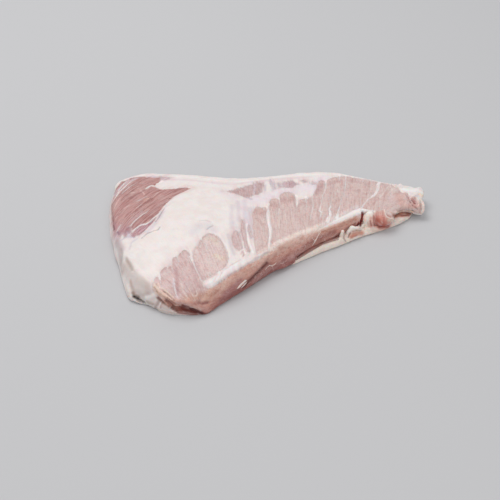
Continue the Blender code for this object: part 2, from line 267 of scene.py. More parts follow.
# Places whose edges stay crisp, as (x, y, z, reach): the cleft and the nub beside it, the slit and
# the flap of the tip, and the pocket and the hollow of the corner
CRISP = [
    (57, -64, 12, 9), (70, -68, 8, 12), (92, -70, 8, 12), (112, -60, 12, 16),
    (-112, -50, 3, 8), (-90, -75, 5, 12), (-100, -67, 6, 10),
]
amount = np.ones(len(points))
for x, y, z, reach in CRISP:
    away = np.linalg.norm(points - (x, y, z), axis=1)
    amount = np.minimum(amount, CRISP_EASE + SOFT_EASE * step_up(away, 0.5 * reach, 1.2 * reach))
points = eased(points, edges, amount, MUSCLE_ROUNDS)
points[points[:, 2] < BASE_LAYER, 2] = 0.0
write_points(muscle, points)
thin_underside(muscle, UNDERSIDE_SHARE)
points = read_points(muscle)
tree = net_tree(muscle)

# The lean that shows through the fat on the top: how soft its edge is, how plainly its strands
# show, its colour and its outline
LEAN_PATCHES = {
    "corner": (0.6, 1.0, (198, 149, 145), [(190, 188), (185, 190.5), (181.5, 192), (177.5, 194),
        (174, 196), (169.5, 199.5), (166.5, 203), (163.5, 206.5), (160.5, 210.5), (158, 213.5),
        (155.5, 216), (153, 218), (150, 221), (146, 223.5), (142, 224.5), (139, 225.5),
        (135, 228.5), (132, 230.5), (130, 227), (127, 227), (124.5, 228.5), (121.5, 230),
        (117, 230.5), (114.5, 230), (112.2, 226), (111, 218), (110.6, 210), (110.8, 204),
        (112.6, 198), (114, 192), (116.5, 186.5), (121.5, 181.5), (130, 178), (140, 176.4),
        (150, 176.6), (160.5, 176.8), (160.3, 178), (160.5, 179.5), (159.5, 180.8), (157, 183.3),
        (155.5, 185), (155.5, 187.2), (157, 188), (160, 189), (165, 189.2), (170.5, 189),
        (176, 188.5), (181, 187.4), (187, 187.3)]),
    "corner_top": (1.9, 0.7, (224, 202, 208), [(160.5, 176.3), (165, 176.3), (170, 177.2),
        (168, 179), (163, 180), (160.5, 179.5)]),
    "corner_low": (1.0, 1.0, (198, 150, 158), [(131, 235.5), (130.5, 231), (135, 228), (140, 225.2),
        (146, 224.3), (151.5, 220.5), (156, 215.5), (155, 218.6), (151.6, 222.8), (147.6, 226.4),
        (144.6, 229.6), (141, 233), (138.5, 235), (136, 235), (133.5, 237)]),
    "corner_foot": (2.4, 1.0, (196, 150, 156), [(111.6, 221), (116, 221), (121, 221), (126, 222),
        (131, 224), (131, 229), (129.5, 233.5), (127, 231.5), (125, 236), (122, 232.5),
        (119.5, 238), (117, 233), (114.6, 237), (112.6, 231)]),
    "lobes_left": (0.55, 0.55, (222, 193, 190), [(152.6, 290), (152.6, 285), (153.6, 281.3),
        (154, 278.5), (155.5, 276.8), (157.3, 276.5), (158.6, 279), (159.4, 281), (159.8, 278),
        (160, 274.5), (160.2, 271), (162, 268.5), (164, 267), (165.8, 267), (166.8, 269.6),
        (168, 267), (169.8, 265), (171, 266.8), (171.8, 269), (171.8, 263), (172, 259),
        (173.5, 257.2), (175.8, 256), (177, 258.5), (177.3, 255.5), (178.5, 253.5), (180.3, 252.4),
        (181.6, 254.4), (182, 251), (183.8, 249.8), (185.8, 250.6), (188, 253), (189.6, 255.6),
        (191, 258.5), (192.5, 263), (196, 271), (199, 277), (201.5, 282), (203, 286.5), (210, 289),
        (222, 296), (214, 306), (207, 313), (200, 314.4), (185, 313.6), (178, 311.8), (173.5, 310),
        (168, 306), (163, 302), (157.5, 298), (154, 294.5)]),
    "lobes_middle": (0.75, 0.4, (230, 206, 202), [(193.2, 262), (192.7, 256), (193, 250.5),
        (195, 246.8), (197.8, 246.2), (198.7, 242), (200.7, 239.5), (202, 237), (204.5, 235.2),
        (208, 233), (210.5, 233.3), (213, 234), (216.5, 236), (219.5, 239), (222, 242.5),
        (224.5, 246.5), (226.6, 252), (227.8, 257.5), (227.3, 262), (225, 266), (221.5, 269.2),
        (217, 271.2), (214, 273.5), (209, 276.5), (205, 278.5), (203, 281.5), (201, 279),
        (198.8, 274), (195.5, 267)]),
    "sliver_left": (0.7, 0.6, (224, 198, 196), [(-39, -52), (-39.5, -46), (-38, -42), (-36, -38),
        (-33, -34.5), (-30, -33), (-29, -35), (-30, -40), (-31.5, -45), (-34, -50), (-36, -53),
        (-38, -53)], "top"),
    "sliver_middle": (0.7, 0.6, (222, 195, 194), [(-19.5, -24), (-22, -27), (-25, -32), (-28, -37),
        (-30, -42), (-30.5, -46), (-33, -52), (-34, -58), (-33, -59), (-31, -56), (-29.5, -51),
        (-28, -46), (-26, -42), (-24, -38), (-22, -33), (-20, -29), (-18.5, -25)], "top"),
    "sliver_right": (0.8, 0.6, (224, 200, 198), [(-18.5, -32), (-21, -35), (-22.5, -38),
        (-23.5, -43), (-24, -46), (-22, -44), (-20.5, -40), (-19.5, -36), (-18, -33)], "top"),
    "finger": (0.7, 0.45, (226, 200, 195), [(252.3, 212), (253, 209.5), (254.5, 207), (257, 206.2),
        (259.5, 207.3), (262, 206.8), (265.5, 207.5), (266.5, 211), (267, 219.5), (268, 226),
        (268.5, 234), (268, 241), (267.5, 248), (262, 251.5), (256, 255), (254.5, 248),
        (253.6, 240), (253.2, 230), (252, 228), (252, 220)]),
    "fingers_right": (0.65, 0.5, (224, 197, 192), [(-22, -66), (-19, -62), (-17, -60), (-13, -55),
        (-9, -49), (-5, -43), (-3, -38), (-1, -34), (1, -30), (3, -26), (6, -20), (9, -15),
        (12, -13), (16, -13.5), (17.5, -17), (19, -14), (22, -10.5), (26, -9.5), (29, -11),
        (30.5, -14), (29.5, -20), (27, -25), (24, -31), (27, -28), (30, -24), (33, -24),
        (35, -24.5), (36, -26), (39, -25), (40, -26), (44, -23), (47, -20), (50, -17), (53, -13),
        (57, -9.5), (60, -9), (60.5, -12), (58, -16), (61, -14), (64, -11.5), (70, -11),
        (74, -11.5), (76, -12.5), (79, -14), (82, -17), (86, -21), (90, -25), (96, -31), (102, -38),
        (105, -44), (103, -49), (101, -55), (103, -61), (107, -64), (108, -72), (104, -78),
        (96, -74), (88, -72), (80, -76), (70, -73), (62, -68), (55, -66), (40, -66), (0, -67),
        (-10, -67)], "top"),
    "patch_left": (1.5, 0.6, (208, 178, 177), [(226, 191), (229.5, 191), (232, 190), (236, 189),
        (238, 188.2), (241, 187.5), (244.5, 186), (248.5, 185), (251.5, 184.5), (253.5, 182.8),
        (256, 182), (259.5, 182), (262.5, 183), (262.5, 184.5), (261.5, 189.5), (261, 192),
        (258.5, 193.5), (256, 194.5), (250.5, 195.5), (248.5, 197), (244.5, 196.5), (241, 195.5),
        (237.5, 194), (234.5, 193.2), (231, 192.8), (228, 191.8)]),
    "patch_streak": (1.9, 0.6, (224, 208, 214), [(268.5, 180.5), (271.5, 180), (274, 183),
        (276, 188.5), (273.5, 189.5), (271.5, 186)]),
    "patch_streak_right": (1.9, 0.6, (220, 202, 208), [(276.5, 182.5), (279.3, 182.5), (282, 186.5),
        (279.5, 187)]),
    "patch_right": (1.1, 0.6, (214, 186, 190), [(281.3, 184), (283, 181.5), (287.5, 180.8),
        (293, 180.8), (296, 182.5), (297.8, 183.8), (295.5, 185), (292.5, 187), (287.5, 187.5),
        (283, 187)]),
    "patch_small": (1.6, 0.6, (224, 204, 206), [(300.5, 181), (303, 179.8), (306, 180.4),
        (306.5, 182), (303.5, 182.6)]),
    "patch_far": (1.9, 0.6, (228, 212, 214), [(310, 183), (312, 181.8), (315, 182.4), (315, 184),
        (312, 184.4)]),
}


def flat_outline(outline, side="seen"):
    """A drawn outline as (x, y) on the meat."""
    if side == "top":
        return outline
    hits = [cast(tree, side, a, b) for a, b in outline]
    return [(hit[0], hit[1]) for hit in hits if hit is not None]


top_depths = [depth_in(points[:, :2], flat_outline(outline, *side))
              for _, _, _, outline, *side in LEAN_PATCHES.values()]
upward = read_normals(muscle)[:, 2]
for depth in top_depths:  # none of it shows on the underside or low on the back wall
    depth[upward < -0.25] = NOT_LEAN

# The front of the cut: where its face starts, drawn as (x, y). Its white rim is above it on the
# left, and its tan shoulder below it on the right.
FACE_EDGE = [
    (-92, -82), (-86, -78), (-80, -74.5), (-75, -72.5), (-70, -72.8), (-65, -72), (-60, -71.3),
    (-55, -70.5), (-50, -69.9), (-45, -68.8), (-40, -67.5), (-35, -66.8), (-30, -66),
    (-25, -64.8), (-20, -63.6), (-15, -62.6), (-10, -61.6), (-5, -60.8), (0, -60.3),
    (10, -60), (40, -59.8), (50, -60.2), (55, -61), (60, -61.8), (66, -62.5)]
FACE_LEFT, FACE_RIGHT = -84, 62.5  # where it ends
FACE_HEIGHT = 13.0
edge_x, edge_y = np.array(FACE_EDGE).T
edge_line = laid(tree, [p for p in FACE_EDGE if FACE_LEFT < p[0] < FACE_RIGHT], side="top")
from_edge = gap_to(points, edge_line, 30.0)
past_edge = np.interp(points[:, 0], edge_x, edge_y) - points[:, 1]
on_face = (points[:, 0] > FACE_LEFT) & (points[:, 0] < FACE_RIGHT)
face_depth = np.where(on_face, np.sign(past_edge) * from_edge, NOT_LEAN)

# The nub of lean to the right of the cleft, drawn from the front as (x, z)
NUB = [(65, 12.5), (68, 13.6), (73, 14.2), (79, 13.5), (83, 10), (85, 6.5), (82, 3.6),
       (76, 2.4), (70, 2.8), (66, 5.5), (64.5, 9)]
NUB_BACK = -56  # it lies in front of this
nub_depth = np.where(points[:, 1] < NUB_BACK, depth_in(points[:, [0, 2]], NUB), NOT_LEAN)

# White seams of fat between the lobes, as (half width, line)
SEAMS = [
    (0.8, [(155, 186.3), (151.5, 185.3), (149, 186), (147, 187.3, 1.1), (145, 188.6, 0.4)]),
    (0.7, [(156.5, 183.5), (158, 183), (160.5, 182), (162, 181)]),
    (0.55, [(135, 178.8, 0.1), (130, 181.2), (125.5, 185), (121, 189.2), (118, 192.5, 0.9),
        (115.5, 196), (111.8, 202.5, 0.3)]),
    (0.45, [(128.5, 178.8), (123.5, 183), (119.5, 188), (117, 192)]),
    (0.3, [(137, 182, 0.1), (131, 185.3), (126, 189), (121, 193.4, 0.1)]),
    (0.65, [(130, 225.5), (133, 221.5), (135.5, 219), (139, 216.5), (142, 214), (145, 212.5, 0.4),
        (147.5, 210, 0.1)]),
    (0.75, [(132, 231.5), (135, 228.5), (139, 225.5), (142, 224.3), (146, 223.5), (150, 221),
        (153, 218), (155.5, 216), (158, 213.5), (160.5, 210.5), (163.5, 206.5, 0.5),
        (166.5, 203, 0.4), (169, 200.5, 0.3)]),
    (0.4, [(120.5, 224, 0.1), (117, 230)]),
    (0.35, [(135.3, 201.5, 0.1), (141, 198.5), (147.3, 195.4, 0.1)]),
    (0.2, [(189.3, 256.2, 0.6), (190.8, 259, 0.4), (192.5, 262.8), (196.8, 271.7), (199.5, 277.8),
        (202, 281, 0.3)]),
    (0.5, [(203.6, 240.3), (205, 244), (207.3, 248.4, 0.1)]),
    (0.45, [(176.8, 257), (178.3, 261.5, 0.1)]),
    (0.5, [(171.6, 267.5), (172.8, 272, 0.1)]),
    (0.45, [(166.8, 268.5), (168, 272.5, 0.1)]),
    (0.5, [(159.3, 279), (160.6, 283.5, 0.1)]),
    (0.35, [(181.4, 253.2), (182.2, 256.5, 0.1)]),
    (0.3, [(172.8, 281.7, 0.1), (173.9, 288.4), (175.6, 295, 0.1)]),
    (0.3, [(-29, -38), (-31, -43), (-33, -48), (-35, -53), (-36, -58)], "top"),
    (0.3, [(-19, -31), (-22, -35), (-24, -39), (-26, -44), (-28, -49), (-30, -55), (-31, -60)],
        "top"),
    (0.65, [(268, 203.5), (266.7, 212.5), (266.7, 220), (268, 225), (269, 232.5), (268.5, 240, 0.6),
        (268, 247, 0.3)]),
    (0.4, [(278.8, 198), (279.1, 203.8, 0.1)]),
    (0.35, [(278.5, 207.9, 0.1), (278.4, 210.9), (277.7, 215, 0.1)]),
    (0.8, [(295.7, 195.5), (296, 203, 0.6), (296, 209.5, 0.1)]),
    (0.4, [(305.3, 196.5), (306.2, 203.9, 0.3), (305.8, 208, 0.3), (305.7, 211, 0.1)]),
    (0.35, [(311.8, 196.5), (312.5, 205), (312, 210), (310.5, 215, 0.3), (310, 220, 0.1)]),
    (0.4, [(326, 180), (325.2, 187.5), (323.7, 191.5), (322.2, 195.5, 0.3), (321.2, 201.5, 0.3),
        (320, 206.5), (318.8, 210, 0.8), (321, 212.2, 0.6), (320, 215), (319.5, 218, 0.1)]),
    (0.35, [(345.4, 173.8, 0.6), (345, 179), (344.5, 187.5, 0.2), (343.5, 195, 0.15),
        (341, 198.5, 0.15), (340, 203.5, 0.2), (337.2, 212.5, 0.6), (336.5, 217.5, 1.5)]),
    (0.5, [(331, 197.5, 0.1), (330.4, 201, 0.4), (330, 206.5, 0.5), (328.2, 209, 0.6),
        (329.6, 211.7, 1), (329.8, 214, 1.1), (328, 217.7, 1.4), (327, 221, 1.5)]),
    (0.7, [(339, 173.8), (338.7, 176.5, 0.6), (338.7, 180, 0.1)]),
    (1.1, [(380.4, 180, 1.3), (377.4, 184, 1.2), (377, 189), (375.5, 192.5, 0.9),
        (372.5, 195.5, 0.8), (368, 198.5, 0.55), (364.5, 202.5, 0.5), (361.5, 206.5, 0.45),
        (360.5, 210, 0.5)]),
    (1.8, [(319, 228.5, 0.2), (327, 224.8, 0.7), (335, 220.8, 1.1), (346, 215.6, 1.6),
        (354.5, 211.8, 2.3), (360, 209.6, 2), (366, 209.8, 1)]),
    (0.1, [(391.5, 188, 0.3), (390.5, 193), (388, 198)]),
]
whole_lean = np.maximum.reduce([face_depth, nub_depth] + top_depths)
seam = np.full(len(points), FAR)
for half, line, *side in SEAMS:
    seam = np.minimum(seam, gap_to(points, laid(tree, line, half, *side)))
lean = np.minimum(whole_lean, seam)

# The way the strands run. On the top they fan out from the cut: a strand is named by where it
# meets the line FAN_FRONT in front of the middle. In the red corner they run along the meat.
FAN_FRONT = 60
FAN_X = [-112, -96, -85, -75, -40, 0, 50, 80, 108]
FAN_TURN = [118, 104, 92, 82, 70, 61, 58, 50, 34]  # degrees from +X
CORNER_X = [-110, -100, -90, -80, -70, -60, -45, -20]
CORNER_RISE = [0.80, 0.75, 0.65, 0.45, 0.35, 0.25, 0.15, 0.1]
CORNER_FRONT, CORNER_RIGHT = -4, -22  # where the red corner ends
strand = points[:, 0].copy()
for _ in range(12):  # its name depends on its own turn, so it is closed in on
    turn = np.radians(np.interp(strand, FAN_X, FAN_TURN))
    strand = 0.5 * strand + 0.5 * (points[:, 0] - (points[:, 1] + FAN_FRONT) / np.tan(turn))
fan = np.stack([strand * np.sin(turn), (points[:, 1] + FAN_FRONT) / np.sin(turn)], 1)
rule = np.arange(-130.0, 130.0, 0.5)
climb = np.cumsum(np.interp(rule, CORNER_X, CORNER_RISE)) * 0.5
bands = np.stack([points[:, 1] - np.interp(points[:, 0], rule, climb), points[:, 0]], 1)
in_corner = (points[:, 1] > CORNER_FRONT) & (points[:, 0] < CORNER_RIGHT)
fibre = np.where(in_corner[:, None], bands, fan)

# What stands up from the skin or sinks into it, as (height, reach, line)
FOLDS = [
    # the cap's brow over the left corner, with the flap of fat below it
    (0.5, 3.0, [(124.5, 254.8), (127.1, 258.9), (130.1, 262.1), (133, 267.4), (137.7, 271),
        (142.4, 275.1), (145.4, 278.6), (150.7, 282.1)]),
    (-0.7, 2.6, [(125.5, 258.6), (128.6, 263.6), (131.6, 269), (134, 272, -1.5)]),
    (-0.25, 1.8, [(120.7, 249.8), (122, 254), (120.9, 264)]),
    (-0.3, 2.6, [(129.5, 282), (131.5, 288), (134, 292)]),
    (0.5, 1.6, [(126.5, 286), (128.5, 292), (130, 297)]),
    (-1.6, 1.7, [(133, 296.4), (135.5, 297.2), (138.5, 298.8), (141.5, 300.6), (143.4, 302)]),
    (-1.1, 4.0, [(-118, 1.4), (-114, 1.2), (-109, 1)], "front"),
    (0.7, 1.2, [(133, 301), (138, 303), (143, 304.4)]),
    (0.7, 2.8, [(146, 297.5), (150, 297), (153.5, 295)]),
    # the brown folds and the hollow at the foot of the corner
    (-1.3, 1.7, [(157.5, 297.6), (160.5, 300.4), (163, 303.2)]),
    (0.7, 1.3, [(161.8, 298.2), (164.5, 301), (167, 304.4)]),
    (-1.5, 1.9, [(165.8, 300), (169.5, 303.2), (173.2, 307), (175.4, 309.4)]),
    (-0.8, 2.0, [(153, 305.6), (156.5, 303.6), (158.3, 300.5)]),
    (0.9, 1.7, [(161.2, 302.8), (159.8, 307.2)]),
    (0.7, 2.2, [(163, 306.5), (168, 309.5), (172, 311.5)]),
    (0.3, 2.2, [(148.5, 301), (152, 303.5)]),
    (0.5, 1.7, [(158, 290.5), (164, 295.5), (171, 299), (180, 300), (187, 302.2), (193, 305.4),
        (200, 309)]),
    (0.35, 0.9, [(161.5, 287.5), (167, 292.2), (173, 298)]),
    (-0.35, 0.9, [(163, 291), (168, 295), (174, 300)]),
    (-0.9, 2.4, [(197.5, 302), (202, 302.6), (206.5, 302)]),
    (-1.3, 3.0, [(176, 305), (182, 306), (187.5, 308), (193, 310.2), (200, 312.6)]),
    # wrinkles of the cap
    (-0.3, 0.9, [(200, 220), (204.5, 219.5), (208.5, 219.8), (210.5, 221.3)]),
    (-0.5, 1.0, [(206.5, 229), (208.5, 227.5), (211, 226), (212.5, 225.2)]),
    (-0.6, 1.0, [(141, 238), (147, 233), (153, 230.6), (157.5, 229.6), (159.5, 226.5)]),
    (-0.4, 0.9, [(155, 221.5), (158.5, 217), (161, 212.5), (163.5, 208.5)]),
    (-0.3, 0.9, [(187.5, 187), (191, 187.8), (195.5, 187.2)]),
    # the rim along the cut, with its curled lump and thin ridge
    (0.8, 2.8, [(206, 284.5), (214, 280.5), (221, 276), (227, 271), (233, 267), (238, 264)]),
    (1.0, 1.9, [(240, 252), (242.5, 249.5), (246.5, 250), (248, 253), (246.5, 255.5),
        (244.5, 258)]),
    (-0.5, 1.2, [(243.5, 252), (243, 255.5)]),
    (0.4, 1.0, [(253.5, 257.5), (256.5, 255.5), (260.5, 255), (262.5, 252), (266.5, 251.5),
        (270, 250.5)]),
    (-0.3, 1.2, [(230, 265), (236, 261.5), (239.5, 259.5)]),
    # lumps of the rim
    (0.6, 1.5, [(209, 279.4), (211.4, 277.6)]),
    (0.5, 1.6, [(216, 281.6), (218, 280.6)]),
    (-0.5, 1.2, [(213.4, 281), (215, 277.6)]),
    (0.6, 1.4, [(222.6, 272), (225, 270.2)]),
    (-0.4, 1.1, [(219.6, 276.6), (221, 272.6)]),
    (0.5, 1.6, [(229, 268.6), (232, 266.6)]),
    (0.6, 1.3, [(247, 258.6), (250, 257.6)]),
    # creases of the cut face
    (-1.0, 2.4, [(266.5, 262.5), (262.5, 266.5), (258.5, 270.5), (255.5, 273.5), (252.5, 277),
        (248.5, 280.5), (245.5, 284), (242.5, 287)]),
    (0.3, 2.6, [(244, 279), (250, 273.5), (256, 268), (262, 263)]),
    # the foot of the face, which hangs out over the strip of fat
    (2.7, 5.5, [(268, 271.5, -5.2), (274, 268.8, -3.6), (282, 265, -1.6), (290, 260.5),
        (298, 256.2), (306, 251.8), (314, 247.6), (322, 243.5), (332, 240), (338, 236.5, -1)]),
    (-0.5, 3.0, [(266.5, 261.5), (280, 252), (296, 245), (312, 238), (330, 231), (348, 224)]),
    (0.4, 2.6, [(250, 284), (262, 273), (274, 265.5), (292, 256)]),
    # the nub, the slit of the cleft and the swirl of the tip
    (-1.0, 1.1, [(361, 213.5), (360.2, 218.5), (359.5, 221.5), (358, 225.5)]),
    (0.9, 2.0, [(362.5, 210.8), (367, 210.6), (371, 210.8)]),
    (0.4, 4.0, [(377, 217), (384, 219.5)]),
    (0.5, 2.0, [(373.4, 215), (373.4, 222)]),
    (0.5, 1.0, [(384, 208.5), (385, 213.5), (386.8, 216.6), (389.5, 218), (394.5, 218.6)]),
    (-0.8, 1.2, [(386, 214.3), (388, 215.4), (390, 216.6)]),
    (-1.0, 1.8, [(393, 215), (396.5, 214.2), (400, 212.6), (405, 212.4), (411, 212.8)]),
    (1.4, 1.5, [(394.5, 212.8), (397, 211.4), (400, 210.4), (405, 210.2), (409.5, 210.6),
        (413, 211.8)]),
    (0.6, 2.5, [(404, 189), (410, 188.5), (418, 189)]),
    (-0.7, 1.1, [(406.8, 193), (407.6, 196.5), (408.6, 199), (410.3, 202.6)]),
    (0.5, 1.2, [(404.5, 192.5), (405.6, 196), (406.5, 199)]),
    (0.5, 1.4, [(411, 197.4), (413.5, 195.6), (416.5, 194)]),
    (-0.9, 1.0, [(411, 199.6), (412.8, 201.4), (414.6, 203.6)]),
    (0.5, 1.0, [(411.5, 196.8), (415, 197.2), (418, 199.6), (418.8, 203.4), (417, 206.4)]),
    (-0.6, 1.0, [(413.5, 198.4), (416.3, 200.6), (416.4, 204.4)]),
    (-0.5, 0.9, [(411, 204), (413.4, 206.2), (417, 208.8)]),
    (0.7, 1.3, [(421.2, 198.8), (422.6, 203), (423.4, 206.5), (423.4, 209.5), (420.5, 213.5)]),
    (-0.5, 0.9, [(419.7, 200), (421, 204), (420.6, 209)]),
    (0.7, 1.6, [(418.8, 193.4), (421, 194.6)]),
    (-0.9, 1.3, [(392, 184.4), (394.8, 186.6), (397.2, 185.6)]),
    (1.1, 1.8, [(-44, 8.5), (-44, 11)], "tip"),
    (-1.0, 2.2, [(-52, 6), (-52, 11)], "tip"),
]
normals = read_normals(muscle)
top_face = step_up(normals[:, 2], 0.25, 0.7)
relief = 0.45 * top_face * (1 - step_up(lean, -1.4, 0.3))  # fat stands up round the lean
relief += 0.25 * top_face * step_up(lean, 0.0, 3.0)  # and lean swells in its middle
for height, reach, line, *side in FOLDS:
    relief += height * hump(points, tree, line, reach, *side)
# The far wall and the blunt end, which don't show in the photograph, get soft dents
far_wall = np.maximum(step_up(normals[:, 1], 0.15, 0.6),
                      step_up(-normals[:, 0], 0.3, 0.8) * step_up(points[:, 1], -18, 6))
far_wall *= step_up(-normals[:, 2], -0.6, -0.1) * step_up(points[:, 2], 0.8, 3.5)
relief += 0.8 * far_wall * grain(points, (11.0, 11.0, 6.0), 8, 2)
# All of it is slightly uneven, and the lean has fine and coarse ridges along its strands
clear_of_base = step_up(points[:, 2], 0.5, 3.0)
relief += 0.30 * grain(points, 9.0, 1, 2) * clear_of_base
relief += 0.08 * grain(points, 2.4, 2) * clear_of_base
in_lean = step_up(lean, -0.5, 1.5)
along = np.column_stack([fibre, 0 * lean])
relief += 0.14 * grain(along, (1.5, 16.0, 1.0), 3) * in_lean
relief += 0.16 * grain(along, (3.6, 30.0, 1.0), 4) * in_lean
points += relief[:, None] * normals
points[:, 2] = np.maximum(points[:, 2], 0.0)
write_points(muscle, points)
tree = net_tree(muscle)

# The colour, softness and strands of the lean at each point: those of the patch it lies deepest in,
# and those of the cut face below its edge
# The cut face darkens towards its foot: partly the lean's own deeper red, partly painted shade.
FACE_TONES = [tone(234, 196, 182), tone(216, 162, 148), tone(168, 104, 98)]  # from the top down
FACE_SOFTNESS, FACE_STRANDS = 0.45, 0.6
PATCH_BLEND = 1.2  # over which one patch turns into the next
FAT_TONE, GLOW_TONE = tone(245, 237, 234), tone(220, 180, 176)
weight = np.exp(np.clip(np.array(top_depths), NOT_LEAN, 3) / PATCH_BLEND)
weight /= weight.sum(0)
softs, plains, tints = zip(*[
    (soft, plain, tone(*colour)) for soft, plain, colour, *_ in LEAN_PATCHES.values()])
lean_colour = np.einsum("kn,kc->nc", weight, np.array(tints))
softness = np.einsum("kn,k->n", weight, np.array(softs))
strands_show = np.einsum("kn,k->n", weight, np.array(plains))
down = np.clip(from_edge / FACE_HEIGHT, 0, 1)
face_colour = np.stack([np.interp(down, (0.1, 0.5, 1.0), one) for one in zip(*FACE_TONES)], 1)
cut = step_up(face_depth, -0.2, 1.2)
lean_colour += cut[:, None] * (face_colour - lean_colour)
softness += cut * (FACE_SOFTNESS - softness)
strands_show += cut * (FACE_STRANDS - strands_show)
fat_colour = np.tile(np.array(FAT_TONE), (len(points), 1))
# Along the far wall and the blunt end lean glows through the fat in soft patches
glow = far_wall * step_up(grain(points, (14.0, 14.0, 5.0), 7, 2), -0.15, 0.75)
fat_colour += 0.6 * glow[:, None] * (np.array(GLOW_TONE) - fat_colour)
